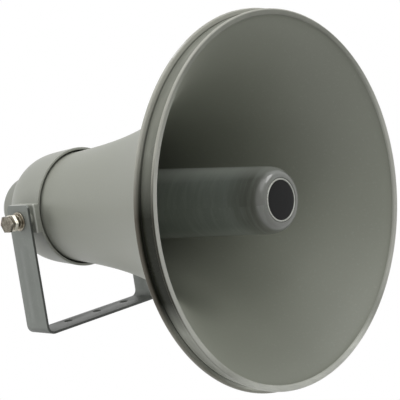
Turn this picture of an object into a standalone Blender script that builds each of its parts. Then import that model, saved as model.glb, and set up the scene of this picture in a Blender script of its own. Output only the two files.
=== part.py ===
"""A re-entrant public-address horn of the 16-inch class, in its U bracket.

Metres, +Z up. The mouth faces -Y and the bracket's bar lies on Z = 0, with the origin under its middle.
The horn's own pieces are drawn along its axis, where depth 0 is the mouth's plane and depth grows backwards.
"""

import math

import bmesh
import bpy
from mathutils import Matrix, Vector

GAP = 0.0003  # kept between pieces that touch

# Bell: one spun sheet, folded back over its mouth into a skirt with a turned-out flange
MOUTH_RADIUS = 0.2000
LIP_BEAD = 0.0018
BELL_WALL = 0.0015
BELL_EDGE_INSET = 0.0015
SKIRT_RADIUS = 0.1997
SKIRT_WALL = 0.0013
SKIRT_WIDTH = 0.0202
GROOVE_DEPTH = 0.0008
GROOVE_WIDTH = 0.0016
FLANGE_RADIUS = 0.2031
FLANGE_BEAD = 0.0021
NECK_RADIUS = 0.0692
NECK_TAPER = 0.105
FLARE_POWER = 2.8
FLARE_STEPS = 8
BELL_SIDES = 44

# Drum: the rear housing, with a lug on each side for the bracket
DRUM_FRONT = 0.3310
DRUM_RADIUS = 0.0748
DRUM_DEPTH = 0.0780
DRUM_BACK_RADIUS = 0.0565
DRUM_WAIST_RADIUS = 0.0703
DRUM_WAIST_SHARE = 0.55
RIM_WALL = 0.0019
RIM_ROUND = 0.0009
NECK_SEAT_DEPTH = 0.0170
CHAMBER_WALL = 0.0060
REAR_WALL = 0.0050
DRUM_SIDES = 36
LUG_FACE = 0.0800
LUG_LENGTH = 0.0400
LUG_HEIGHT = 0.0360
LUG_ROUND = 0.0018
BOSS_RADIUS = 0.0150
PIVOT_BEHIND_RIM = 0.0130

# Reflector, tone arm and what joins them
REFLECTOR_RADIUS = 0.0368
REFLECTOR_TAPER = 0.027
REFLECTOR_WALL = 0.0015
REFLECTOR_FRONT = 0.0100
REFLECTOR_BACK = 0.3480
NOSE_LENGTH = 0.0215
BADGE_RADIUS = 0.0233
BADGE_BORDER = 0.0016
BADGE_THICKNESS = 0.0012
BADGE_RECESS = 0.0016
TONE_ARM_FRONT = 0.0720
TONE_ARM_MOUTH = 0.0200
TONE_ARM_THROAT = 0.0095
TONE_ARM_WALL = 0.0018
TONE_ARM_FLANGE = 0.0240
TONE_ARM_FLANGE_THICKNESS = 0.0035
SPIDER_WALL = 0.0025
SPIDER_RING = 0.0110
SPIDER_HUB = 0.0065
SPIDER_HUB_LENGTH = 0.0130
TUBE_SIDES = 28

# Driver
PLATE_RADIUS = 0.0400
THROAT_PLATE = 0.0050
TOP_PLATE = 0.0046
MAGNET_RADIUS = 0.0320
MAGNET_HOLE = 0.0200
MAGNET_LENGTH = 0.0130
BACK_PLATE = 0.0044
POLE_RADIUS = 0.0120
COIL_CLEARANCE = 0.0005
COIL_WALL = 0.0010
COIL_LENGTH = 0.0055
DIAPHRAGM_RADIUS = 0.0320
DIAPHRAGM_SHEET = 0.0006
DOME_RISE = 0.0020
GASKET_SHEET = 0.0012
DRIVER_SCREW_CIRCLE = 0.0362

# Rear cover and its cable entry
COVER_RADIUS = 0.0580
COVER_LENGTH = 0.0607
COVER_RIM = 0.0022
COVER_WALL = 0.0020
COVER_SCREW_CIRCLE = 0.0475
PILLAR_RADIUS = 0.0052
COVER_SCREW_SEAT = 0.0082
GLAND_DEPTH = 0.0165
GLAND_THREAD = 0.0060
GLAND_ACROSS = 0.0170
GLAND_NUT_LENGTH = 0.0080
GLAND_COLLAR_LENGTH = 0.0040

# Bracket: one bent strip
AXIS_HEIGHT = 0.1420
BRACKET_WIDTH = 0.1894
STRIP_WIDTH = 0.0400
STRIP_THICKNESS = 0.0030
BEND_RADIUS = 0.0080
ARM_CORNER = 0.0060
ARM_ABOVE_AXIS = 0.0200
RIB_WIDTH = 0.0080
RIB_HEIGHT = 0.0008
RIB_BELOW_AXIS = 0.0290
BAR_HOLE = 0.0056
BAR_HOLE_PITCH = 0.0483
BAR_HOLE_SIDE = 0.0080
BAR_HOLE_BACK = 0.0065

# M10 pivot hardware and the small screws
BOLT_RADIUS = 0.0050
BOLT_HOLE = 0.0054
BOLT_REACH = 0.0170
HEX_ACROSS = 0.0170
BOLT_HEAD = 0.0068
NUT_LENGTH = 0.0080
SPRING_WASHER_RADIUS = 0.0090
SPRING_WASHER_THICKNESS = 0.0025
FLAT_WASHER_RADIUS = 0.0105
FLAT_WASHER_THICKNESS = 0.0018
SCREW_RADIUS = 0.0020
SCREW_HEAD_RADIUS = 0.0032
SCREW_HEAD = 0.0024
THREE_WAYS = [math.radians(a) for a in (90, 210, 330)]

PIVOT_DEPTH = DRUM_FRONT + PIVOT_BEHIND_RIM
DRUM_BACK = DRUM_FRONT + DRUM_DEPTH
CHAMBER_BACK = DRUM_BACK - REAR_WALL
ARM_FACE = BRACKET_WIDTH / 2 - STRIP_THICKNESS


def finish(name, red, green, blue, roughness, metallic=0.0):
    """A Principled material whose colour is given as screen values from 0 to 255."""
    made = bpy.data.materials.new(name)
    made.use_nodes = True
    shader = made.node_tree.nodes["Principled BSDF"]
    linear = [(v / 255) ** 2.2 for v in (red, green, blue)]
    shader.inputs["Base Color"].default_value = (*linear, 1)
    shader.inputs["Roughness"].default_value = roughness
    shader.inputs["Metallic"].default_value = metallic
    made.diffuse_color = (*linear, 1)
    return made


def add_object(name, mesh_edit, material, parent=None, smooth=35):
    """An object from a bmesh, shaded smooth between faces that meet at less than the angle."""
    bmesh.ops.remove_doubles(mesh_edit, verts=mesh_edit.verts, dist=1e-7)
    bmesh.ops.recalc_face_normals(mesh_edit, faces=mesh_edit.faces)
    mesh = bpy.data.meshes.new(name)
    mesh_edit.to_mesh(mesh)
    mesh_edit.free()
    mesh.shade_smooth()
    mesh.set_sharp_from_angle(angle=math.radians(smooth))
    mesh.materials.append(material)
    made = bpy.data.objects.new(name, mesh)
    bpy.context.collection.objects.link(made)
    made.parent = parent
    return made


def spin_profile(profile, sides):
    """A bmesh turned about the horn's axis from a closed outline of (depth, radius) points."""
    turned = bmesh.new()
    corners = [turned.verts.new((radius, depth, 0)) for depth, radius in profile]
    pairs = zip(corners, corners[1:] + corners[:1])
    edges = [turned.edges.new(pair) for pair in pairs if max(end.co.x for end in pair) > 0]
    bmesh.ops.spin(
        turned,
        geom=corners + edges,
        cent=(0, 0, 0),
        axis=(0, 1, 0),
        dvec=(0, 0, 0),
        angle=math.tau,
        steps=sides,
        use_merge=True,
        use_duplicate=False,
    )
    return turned


def turned_piece(name, profile, material, sides=TUBE_SIDES, smooth=35):
    """A piece of the horn, drawn from the mouth's plane and hung on the pivot."""
    made = add_object(name, spin_profile(profile, sides), material, pivot, smooth)
    made.location.y = -PIVOT_DEPTH
    return made


def washer_profile(front, back, hole, radius):
    return [(front, hole), (front, radius), (back, radius), (back, hole)]


def arc(depth, radius, bend, start, end, steps):
    """Points of a round stretch about (depth, radius), by angles in degrees from the depth axis."""
    angles = [math.radians(start + (end - start) * i / steps) for i in range(steps + 1)]
    return [(depth + bend * math.cos(a), radius + bend * math.sin(a)) for a in angles]


def bezier(points, steps):
    """Points of a cubic or quadratic curve through (depth, radius) controls."""
    order = len(points) - 1
    found = []
    for i in range(steps + 1):
        s = i / steps
        weights = [math.comb(order, k) * s**k * (1 - s) ** (order - k) for k in range(order + 1)]
        found.append(tuple(sum(w * p[axis] for w, p in zip(weights, points)) for axis in (0, 1)))
    return found


def add_rod(target, start, end, radius, sides=16, end_radius=None):
    """Adds a closed cylinder or cone between two points."""
    start, end = Vector(start), Vector(end)
    along = end - start
    turn = along.to_track_quat("Z", "Y").to_matrix().to_4x4()
    bmesh.ops.create_cone(
        target,
        cap_ends=True,
        segments=sides,
        radius1=radius,
        radius2=radius if end_radius is None else end_radius,
        depth=along.length,
        matrix=Matrix.Translation((start + end) / 2) @ turn,
    )


def add_box(target, low, high, rounding=0.0):
    """Adds a box between two corners, with its edges rounded if asked."""
    low, high = Vector(low), Vector(high)
    size = Matrix.Diagonal((*(high - low), 1))
    made = bmesh.ops.create_cube(target, size=1, matrix=Matrix.Translation((low + high) / 2) @ size)
    if rounding:
        edges = {edge for corner in made["verts"] for edge in corner.link_edges}
        bmesh.ops.bevel(target, geom=list(edges), offset=rounding, segments=2, profile=0.5, affect="EDGES")


def combine(target, shapes, operation):
    """Applies one Boolean per closed shape, each a helper that is drawn as wires and not rendered."""
    for index, shape in enumerate(shapes):
        helper = add_object(f"{target.name}_{operation.lower()}_{index}", shape, plain, target.parent)
        helper.location = target.location
        helper.hide_render = True
        helper.display_type = "WIRE"
        boolean = target.modifiers.new(helper.name, "BOOLEAN")
        boolean.operation = operation
        boolean.solver = "EXACT"
        boolean.object = helper


def extrude(target, corners, move):
    """Makes a face of the corners and draws it out into a closed prism."""
    raised = bmesh.ops.extrude_face_region(target, geom=[target.faces.new(corners)])
    moved = [v for v in raised["geom"] if isinstance(v, bmesh.types.BMVert)]
    bmesh.ops.translate(target, verts=moved, vec=move)
    closed = [f for f in target.faces if set(f.verts) == set(corners)]
    if not closed:
        target.faces.new(corners)


def new_rod(*args, **settings):
    made = bmesh.new()
    add_rod(made, *args, **settings)
    return made


def new_box(*args, **settings):
    made = bmesh.new()
    add_box(made, *args, **settings)
    return made


def flare_radius(depth):
    """The bell's outer radius, from the straight neck through the flare to the folded edge."""
    if depth >= DRUM_FRONT:
        return NECK_RADIUS
    ahead = DRUM_FRONT - depth
    edge = MOUTH_RADIUS - BELL_EDGE_INSET
    rise = edge - NECK_RADIUS - NECK_TAPER * DRUM_FRONT
    return NECK_RADIUS + NECK_TAPER * ahead + rise * (ahead / DRUM_FRONT) ** FLARE_POWER


def flare_inside(depth):
    step = 0.001
    slope = (flare_radius(depth) - flare_radius(depth + step)) / step
    return flare_radius(depth) - BELL_WALL * math.hypot(1, slope)


def build_bell():
    neck_end = DRUM_FRONT + NECK_SEAT_DEPTH - GAP
    fold_root = 2.6 * BELL_WALL
    stations = [
        fold_root + (DRUM_FRONT - fold_root) * (i / FLARE_STEPS) ** 1.15 for i in range(FLARE_STEPS + 1)
    ]
    inside = [(neck_end, NECK_RADIUS - BELL_WALL)]
    inside += [(depth, flare_inside(depth)) for depth in reversed(stations)]
    inside.append((LIP_BEAD / 2, flare_inside(LIP_BEAD / 2)))
    lip = arc(0, MOUTH_RADIUS, LIP_BEAD, -115, -325, 5)
    groove_front = SKIRT_WIDTH - FLANGE_BEAD - 2 * GROOVE_WIDTH
    groove_back = groove_front + GROOVE_WIDTH
    flank = GROOVE_DEPTH / 2
    skirt = [
        (LIP_BEAD * 1.4, SKIRT_RADIUS),
        (groove_front - flank, SKIRT_RADIUS),
        (groove_front, SKIRT_RADIUS - GROOVE_DEPTH),
        (groove_back, SKIRT_RADIUS - GROOVE_DEPTH),
        (SKIRT_WIDTH - FLANGE_BEAD, SKIRT_RADIUS),
    ]
    flange = arc(SKIRT_WIDTH, FLANGE_RADIUS, FLANGE_BEAD, 180, -55, 5)
    under = SKIRT_RADIUS - SKIRT_WALL
    lining = [
        (SKIRT_WIDTH - FLANGE_BEAD + SKIRT_WALL, under),
        (groove_back, under - GROOVE_DEPTH),
        (groove_front, under - GROOVE_DEPTH),
        (groove_front - flank, under),
        (fold_root, under),
    ]
    outside = [(depth, flare_radius(depth)) for depth in stations]
    outside.append((neck_end, NECK_RADIUS))
    turned_piece("bell", inside + lip + skirt + flange + lining + outside, paint, BELL_SIDES)


def drum_outline():
    """The drum's outer side from its front rim to its back edge."""
    waist = DRUM_FRONT + DRUM_WAIST_SHARE * DRUM_DEPTH
    rim = arc(DRUM_FRONT + RIM_ROUND, DRUM_RADIUS - RIM_ROUND, RIM_ROUND, 180, 90, 2)
    shoulder = [
        (waist, DRUM_WAIST_RADIUS),
        (DRUM_FRONT + 0.77 * DRUM_DEPTH, DRUM_WAIST_RADIUS - 0.0024),
        (DRUM_BACK, DRUM_BACK_RADIUS),
    ]
    return rim + [(DRUM_FRONT + 0.006, DRUM_RADIUS - 0.0004)] + bezier(shoulder, 6)


def chamber_outline():
    """The hollow inside the drum: the seat of the bell's neck, then the bowl that turns the sound round."""
    seat_back = DRUM_FRONT + NECK_SEAT_DEPTH
    seat_radius = DRUM_RADIUS - RIM_WALL
    bowl_radius = DRUM_WAIST_RADIUS - CHAMBER_WALL + 0.001
    ahead = DRUM_FRONT - 0.01
    bowl = [
        (seat_back, bowl_radius),
        (CHAMBER_BACK - 0.004, bowl_radius),
        (CHAMBER_BACK, DRUM_BACK_RADIUS - CHAMBER_WALL),
    ]
    return [(ahead, 0), (ahead, seat_radius), (seat_back, seat_radius), *bezier(bowl, 4), (CHAMBER_BACK, 0)]


def build_drum():
    outline = drum_outline()
    solid = [(DRUM_FRONT, 0), *outline, (DRUM_BACK, 0)]
    drum = turned_piece("drum", solid, paint, DRUM_SIDES)
    depth = PIVOT_DEPTH
    lugs = []
    holes = []
    for side in (-1, 1):
        inner = DRUM_WAIST_RADIUS - CHAMBER_WALL / 2
        faces = sorted((side * inner, side * LUG_FACE))
        low = (faces[0], DRUM_FRONT + GAP, -LUG_HEIGHT / 2)
        high = (faces[1], DRUM_FRONT + LUG_LENGTH, LUG_HEIGHT / 2)
        lugs.append(new_box(low, high, rounding=LUG_ROUND))
        boss_face = side * (ARM_FACE - GAP)
        lugs.append(new_rod((side * inner, depth, 0), (boss_face, depth, 0), BOSS_RADIUS))
        bolt_tip = side * (ARM_FACE - BOLT_REACH - 2 * GAP)
        holes.append(new_rod((bolt_tip, depth, 0), (side * 0.11, depth, 0), BOLT_HOLE))
    combine(drum, lugs, "UNION")
    combine(drum, [spin_profile(chamber_outline(), DRUM_SIDES)], "DIFFERENCE")
    combine(drum, holes, "DIFFERENCE")
    throat = TONE_ARM_THROAT + TONE_ARM_WALL + GAP
    bores = [new_rod((0, CHAMBER_BACK - 0.01, 0), (0, DRUM_BACK + 0.01, 0), throat)]
    circles = (screw_circle(), DRIVER_SCREW_CIRCLE, COVER_SCREW_CIRCLE)
    for circle, blind in zip(circles, (False, True, True)):
        turn = math.pi if circle == DRIVER_SCREW_CIRCLE else 0
        start = DRUM_BACK - 0.8 * REAR_WALL if blind else CHAMBER_BACK - 0.01
        for angle in THREE_WAYS:
            x, z = circle * math.cos(angle + turn), circle * math.sin(angle + turn)
            bores.append(new_rod((x, start, z), (x, DRUM_BACK + 0.01, z), SCREW_RADIUS + GAP, sides=8))
    combine(drum, bores, "DIFFERENCE")


def build_neck_gasket():
    front = DRUM_FRONT + 0.005
    back = DRUM_FRONT + NECK_SEAT_DEPTH - GAP
    profile = washer_profile(front, back, NECK_RADIUS + GAP, DRUM_RADIUS - RIM_WALL - GAP)
    turned_piece("neck_gasket", profile, rubber, BELL_SIDES)


def reflector_radius(depth):
    return REFLECTOR_RADIUS + REFLECTOR_TAPER * max(0.0, depth - REFLECTOR_FRONT - NOSE_LENGTH)


def build_reflector():
    """A closed tube with a rounded nose, a recess for the badge and a hub for its one screw."""
    front, nose = REFLECTOR_FRONT, REFLECTOR_FRONT + NOSE_LENGTH
    recess = BADGE_RADIUS + 2 * GAP
    floor = front + BADGE_RECESS
    shelf = recess + 0.0012
    outer_nose = [
        (front, shelf),
        (front + 0.0008, REFLECTOR_RADIUS - 0.004),
        (front + 0.33 * NOSE_LENGTH, REFLECTOR_RADIUS - 0.0002),
        (nose, REFLECTOR_RADIUS),
    ]
    wall = REFLECTOR_WALL
    inner_nose = [
        (nose, REFLECTOR_RADIUS - wall),
        (front + 0.38 * NOSE_LENGTH, REFLECTOR_RADIUS - wall),
        (floor + wall, REFLECTOR_RADIUS - 0.006),
        (floor + wall, recess),
    ]
    hub = SPIDER_HUB + wall
    hub_back = floor + wall + 0.0045
    bore = SCREW_RADIUS + GAP
    counterbore = floor + SCREW_HEAD + 2 * GAP
    outside = [(floor, recess), (front + 0.0003, recess), *bezier(outer_nose, 6)]
    outside.append((REFLECTOR_BACK, reflector_radius(REFLECTOR_BACK)))
    inside = [(REFLECTOR_BACK, reflector_radius(REFLECTOR_BACK) - wall), *bezier(inner_nose, 4)]
    middle = [
        (floor + wall, hub),
        (hub_back, hub),
        (hub_back, bore),
        (counterbore, bore),
        (counterbore, SCREW_HEAD_RADIUS + GAP),
        (floor, SCREW_HEAD_RADIUS + GAP),
    ]
    turned_piece("reflector", outside + inside + middle, paint)
    return hub_back, counterbore


def build_badge():
    front = REFLECTOR_FRONT + BADGE_RECESS - GAP
    border = BADGE_RADIUS - BADGE_BORDER
    disc = border - GAP
    dome = REFLECTOR_FRONT + BADGE_RECESS - GAP - BADGE_THICKNESS
    face = [(dome, 0), (dome + 0.0001, 0.6 * disc), (dome + 0.0004, disc), (front, disc), (front, 0)]
    turned_piece("badge", face, black_gloss)
    turned_piece("badge_border", washer_profile(dome - GAP / 2, front, border, BADGE_RADIUS), silver)


def build_axial_screw(name, circle, angle, seat, reach):
    """A pan-head screw along the horn's axis, driven backwards, or forwards for a negative reach."""
    toward = math.copysign(1, reach)
    head = bmesh.new()
    add_rod(head, (0, 0, 0), (0, -toward * SCREW_HEAD, 0), SCREW_HEAD_RADIUS, 12, SCREW_HEAD_RADIUS * 0.8)
    shank = new_rod((0, -toward * SCREW_HEAD / 2, 0), (0, reach, 0), SCREW_RADIUS, sides=8)
    made = add_object(name, head, steel, pivot)
    made.location = (circle * math.cos(angle), seat - PIVOT_DEPTH, circle * math.sin(angle))
    combine(made, [shank], "UNION")


def screw_circle():
    """The radius at which the tone arm's screws stand."""
    return (TONE_ARM_FLANGE + TONE_ARM_THROAT + TONE_ARM_WALL) / 2 + 0.0008


def build_tone_arm():
    """The conical tube that leads the sound forward, with its flange on the drum's rear wall."""
    front, mouth = TONE_ARM_FRONT, TONE_ARM_MOUTH
    throat_outside = TONE_ARM_THROAT + TONE_ARM_WALL
    flange_back = CHAMBER_BACK - GAP
    flange_front = flange_back - TONE_ARM_FLANGE_THICKNESS
    profile = [
        (front, mouth),
        (front, mouth + TONE_ARM_WALL),
        (front + SPIDER_RING, mouth + TONE_ARM_WALL),
        (flange_front - 0.004, throat_outside),
        (flange_front, throat_outside + 0.0015),
        (flange_front, TONE_ARM_FLANGE),
        (flange_back, TONE_ARM_FLANGE),
        (flange_back, throat_outside),
        (DRUM_BACK, throat_outside),
        (DRUM_BACK, TONE_ARM_THROAT),
        (flange_front, TONE_ARM_THROAT),
    ]
    arm = turned_piece("tone_arm", profile, cast_grey)
    holes = []
    for index, angle in enumerate(THREE_WAYS, 1):
        x, z = screw_circle() * math.cos(angle), screw_circle() * math.sin(angle)
        start = (x, flange_front + 0.0002 - 0.004, z)
        holes.append(new_rod(start, (x, flange_back + 0.002, z), SCREW_RADIUS + GAP, sides=8))
        reach = TONE_ARM_FLANGE_THICKNESS + REAR_WALL
        build_axial_screw(f"tone_arm_screw_{index}", screw_circle(), angle, flange_front - GAP, reach)
    combine(arm, holes, "DIFFERENCE")


def build_spider(hub_front, counterbore):
    """The three-legged piece on the tone arm's mouth that carries the reflector by one screw."""
    inner = TONE_ARM_MOUTH + TONE_ARM_WALL + GAP
    outer = inner + SPIDER_WALL
    ring_front = TONE_ARM_FRONT - SPIDER_WALL
    ring_back = TONE_ARM_FRONT + SPIDER_RING - GAP
    lip = TONE_ARM_MOUTH
    profile = [
        (ring_front, lip),
        (ring_front, outer),
        (ring_back, outer),
        (ring_back, inner),
        (TONE_ARM_FRONT - GAP, inner),
        (TONE_ARM_FRONT - GAP, lip),
    ]
    spider = turned_piece("reflector_spider", profile, cast_grey)
    front = hub_front + GAP
    back = front + SPIDER_HUB_LENGTH
    parts = [new_rod((0, front, 0), (0, back, 0), SPIDER_HUB)]
    for angle in THREE_WAYS:
        leg = bmesh.new()
        low, high = (SPIDER_HUB - 0.002), (outer - 0.0004)
        outline = [(low, front + 0.002), (low, back - 0.001), (lip + 0.0008, ring_front + 0.001)]
        outline += [(high, ring_front + 0.001), (high, ring_front - 0.006)]
        corners = [leg.verts.new((radius, depth, -SPIDER_WALL / 2)) for radius, depth in outline]
        extrude(leg, corners, (0, 0, SPIDER_WALL))
        bmesh.ops.rotate(leg, verts=leg.verts, matrix=Matrix.Rotation(-angle, 3, "Y"))
        parts.append(leg)
    combine(spider, parts, "UNION")
    bore = new_rod((0, front - 0.01, 0), (0, back + 0.01, 0), SCREW_RADIUS + GAP, sides=16)
    combine(spider, [bore], "DIFFERENCE")
    build_axial_screw("reflector_screw", 0, 0, counterbore - GAP, back - counterbore)


def drilled(piece, circle, turn, front, back):
    """Cuts the three screw holes of a flat piece."""
    holes = []
    for angle in THREE_WAYS:
        x, z = circle * math.cos(angle + turn), circle * math.sin(angle + turn)
        holes.append(new_rod((x, front - 0.002, z), (x, back + 0.002, z), SCREW_RADIUS + GAP, sides=8))
    combine(piece, holes, "DIFFERENCE")


def build_driver():
    """The compression driver, from the drum's rear wall backwards."""
    throat = TONE_ARM_THROAT
    depth = DRUM_BACK + GAP
    back = depth + GASKET_SHEET
    gasket = turned_piece("throat_gasket", washer_profile(depth, back, throat, PLATE_RADIUS), rubber)
    drilled(gasket, DRIVER_SCREW_CIRCLE, math.pi, depth, back)
    depth = back + GAP
    back = depth + THROAT_PLATE
    pocket = POLE_RADIUS + COIL_CLEARANCE + COIL_WALL + 0.001
    profile = [
        (depth, throat),
        (depth, PLATE_RADIUS),
        (back, PLATE_RADIUS),
        (back, pocket),
        (back - DOME_RISE - GAP, throat),
    ]
    plate = turned_piece("throat_plate", profile, cast_grey)
    drilled(plate, DRIVER_SCREW_CIRCLE, math.pi, depth, back)
    depth = back + GAP
    back = depth + DIAPHRAGM_SHEET
    coil = POLE_RADIUS + COIL_CLEARANCE
    dome = [(depth - DOME_RISE, 0), (depth - 0.75 * DOME_RISE, 0.5 * coil), (depth, coil + COIL_WALL)]
    under = [(back, coil), (back - 0.75 * DOME_RISE, 0.5 * coil), (back - DOME_RISE, 0)]
    sheet = dome + [(depth, DIAPHRAGM_RADIUS), (back, DIAPHRAGM_RADIUS)] + under
    turned_piece("diaphragm", sheet, phenolic)
    depth = back + GAP
    wound = washer_profile(depth, depth + COIL_LENGTH, coil, coil + COIL_WALL)
    turned_piece("voice_coil", wound, copper)
    back = depth + TOP_PLATE
    gap_radius = coil + COIL_WALL + COIL_CLEARANCE
    top = turned_piece("top_plate", washer_profile(depth, back, gap_radius, PLATE_RADIUS), steel)
    drilled(top, DRIVER_SCREW_CIRCLE, math.pi, depth, back)
    reach = -(back + GAP - DRUM_BACK + 0.6 * REAR_WALL)
    for index, angle in enumerate(THREE_WAYS, 1):
        name = f"driver_screw_{index}"
        build_axial_screw(name, DRIVER_SCREW_CIRCLE, angle + math.pi, back + GAP, reach)
    pole_front = depth + GAP
    depth = back + GAP
    back = depth + MAGNET_LENGTH
    turned_piece("magnet", washer_profile(depth, back, MAGNET_HOLE, MAGNET_RADIUS), ferrite)
    depth = back + GAP
    back = depth + BACK_PLATE
    yoke_radius = MAGNET_RADIUS - 0.001
    yoke = [(pole_front, 0), (pole_front, POLE_RADIUS), (depth, POLE_RADIUS), (depth, yoke_radius)]
    turned_piece("back_plate", yoke + [(back, yoke_radius), (back, 0)], steel)
    block = new_box((-0.012, back + GAP, 0.002), (0.012, back + 0.010, 0.014), rounding=0.001)
    terminals = add_object("terminal_block", block, black_plastic, pivot)
    terminals.location.y = -PIVOT_DEPTH


def cover_profile(offset):
    """The cover's side from its rim to its closed end, moved inwards by the offset."""
    front = DRUM_BACK + GAP
    back = front + COVER_LENGTH - offset
    radius = COVER_RADIUS - offset
    dome = [
        (front + COVER_RIM, radius - 0.0004),
        (front + 0.37 * COVER_LENGTH, 0.79 * radius),
        (back, 0.56 * radius),
        (back, 0),
    ]
    return [(front, radius), *bezier(dome, 7)]


def build_rear_cover():
    front = DRUM_BACK + GAP
    profile = cover_profile(0) + list(reversed(cover_profile(COVER_WALL)))
    cover = turned_piece("rear_cover", profile, paint)
    seat = front + COVER_SCREW_SEAT
    pillars = []
    cuts = []
    for index, angle in enumerate(THREE_WAYS, 1):
        x, z = COVER_SCREW_CIRCLE * math.cos(angle), COVER_SCREW_CIRCLE * math.sin(angle)
        pillars.append(new_rod((x, front, z), (x, seat + 0.004, z), PILLAR_RADIUS, sides=12))
        cuts.append(new_rod((x, seat, z), (x, seat + 0.03, z), SCREW_HEAD_RADIUS + 0.0006, sides=12))
        cuts.append(new_rod((x, front - 0.002, z), (x, seat + 0.002, z), SCREW_RADIUS + GAP, sides=8))
        reach = -(COVER_SCREW_SEAT + 0.6 * REAR_WALL)
        build_axial_screw(f"cover_screw_{index}", COVER_SCREW_CIRCLE, angle, seat + GAP, reach)
    depth = front + GLAND_DEPTH
    boss_face = COVER_RADIUS
    wall_inside = PLATE_RADIUS + 0.002
    seat_boss = new_rod((0, depth, -wall_inside), (0, depth, -boss_face), 0.0105)
    combine(cover, pillars + [seat_boss], "UNION")
    entry = new_rod((0, depth, -wall_inside + 0.004), (0, depth, -boss_face - 0.01), GLAND_THREAD + GAP)
    combine(cover, cuts + [entry], "DIFFERENCE")
    build_gland(depth, boss_face, wall_inside)


def build_gland(depth, seat, inside):
    """A cable gland that points down, with its hexagonal nut outside and a short thread inside."""
    nut = seat + GAP
    collar = nut + GLAND_NUT_LENGTH
    tip = collar + GLAND_COLLAR_LENGTH
    hex_nut = new_rod((0, 0, -nut), (0, 0, -collar), GLAND_ACROSS / math.sqrt(3), sides=6)
    gland = add_object("cable_gland", hex_nut, black_plastic, pivot)
    gland.location.y = depth - PIVOT_DEPTH
    thread = new_rod((0, 0, -inside - GAP), (0, 0, -nut - 0.001), GLAND_THREAD)
    dome = new_rod((0, 0, -collar + 0.001), (0, 0, -tip), GLAND_ACROSS / 2 - 0.0008, end_radius=0.0058)
    combine(gland, [thread, dome], "UNION")
    combine(gland, [new_rod((0, 0, -inside + 0.01), (0, 0, -tip - 0.01), 0.0034)], "DIFFERENCE")


def side_bend(side, radius, steps=5):
    """The quarter turn from an arm to the bar, seen along Y, on the bend's outer or inner radius."""
    centre_x = BRACKET_WIDTH / 2 - BEND_RADIUS - STRIP_THICKNESS
    centre_z = BEND_RADIUS + STRIP_THICKNESS
    angles = [math.pi / 2 * i / steps for i in range(steps + 1)]
    return [(side * (centre_x + radius * math.cos(a)), centre_z - radius * math.sin(a)) for a in angles]


def build_bracket():
    """A flat strip bent into a U, its arm ends rounded, a rib along each arm and three holes in its bar."""
    top = AXIS_HEIGHT + ARM_ABOVE_AXIS
    half = BRACKET_WIDTH / 2
    outer = BEND_RADIUS + STRIP_THICKNESS
    outline = [(half, top), *side_bend(1, outer), *reversed(side_bend(-1, outer)), (-half, top)]
    outline += [(-ARM_FACE, top), *side_bend(-1, BEND_RADIUS)]
    outline += [*reversed(side_bend(1, BEND_RADIUS)), (ARM_FACE, top)]
    strip = bmesh.new()
    corners = [strip.verts.new((x, -STRIP_WIDTH / 2, z)) for x, z in outline]
    extrude(strip, corners, (0, STRIP_WIDTH, 0))
    ends = [
        edge
        for edge in strip.edges
        if all(abs(v.co.z - top) < 1e-6 for v in edge.verts)
        and abs(edge.verts[0].co.y - edge.verts[1].co.y) < 1e-6
    ]
    bmesh.ops.bevel(strip, geom=ends, offset=ARM_CORNER, segments=4, profile=0.5, affect="EDGES")
    bracket = add_object("bracket", strip, bracket_paint)
    for side in (-1, 1):
        combine(bracket, [rib(side, half, RIB_WIDTH)], "UNION")
        combine(bracket, [rib(side, ARM_FACE, RIB_WIDTH - RIB_HEIGHT)], "DIFFERENCE")
    cuts = [new_rod((-half - 0.01, 0, AXIS_HEIGHT), (half + 0.01, 0, AXIS_HEIGHT), BOLT_HOLE)]
    for step in (-1, 0, 1):
        x = BAR_HOLE_SIDE + step * BAR_HOLE_PITCH
        cuts.append(new_rod((x, BAR_HOLE_BACK, -0.01), (x, BAR_HOLE_BACK, 0.01), BAR_HOLE))
    combine(bracket, cuts, "DIFFERENCE")


def rib(side, face, width):
    """The shape that a pressed rib adds outside an arm, or takes away inside it, with a rounded upper end."""
    low = BEND_RADIUS + STRIP_THICKNESS
    high = AXIS_HEIGHT - RIB_BELOW_AXIS - width / 2
    raised = bmesh.new()
    foot = face - STRIP_THICKNESS / 3
    half = width / 2
    angles = [math.pi * i / 6 for i in range(7)]
    across = [(-half * math.cos(a), high + half * math.sin(a)) for a in angles]
    across = [(-half, low), *across, (half, low)]
    corners = [raised.verts.new((side * foot, y, z)) for y, z in across]
    extrude(raised, corners, (side * (face + RIB_HEIGHT - foot), 0, 0))
    return raised


def hexagon(start, end):
    """A hexagonal prism along X with two of its flats upright."""
    prism = new_rod((start, 0, 0), (end, 0, 0), HEX_ACROSS / math.sqrt(3), sides=6)
    bmesh.ops.rotate(prism, verts=prism.verts, matrix=Matrix.Rotation(math.pi / 2, 3, "X"))
    return prism


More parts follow.
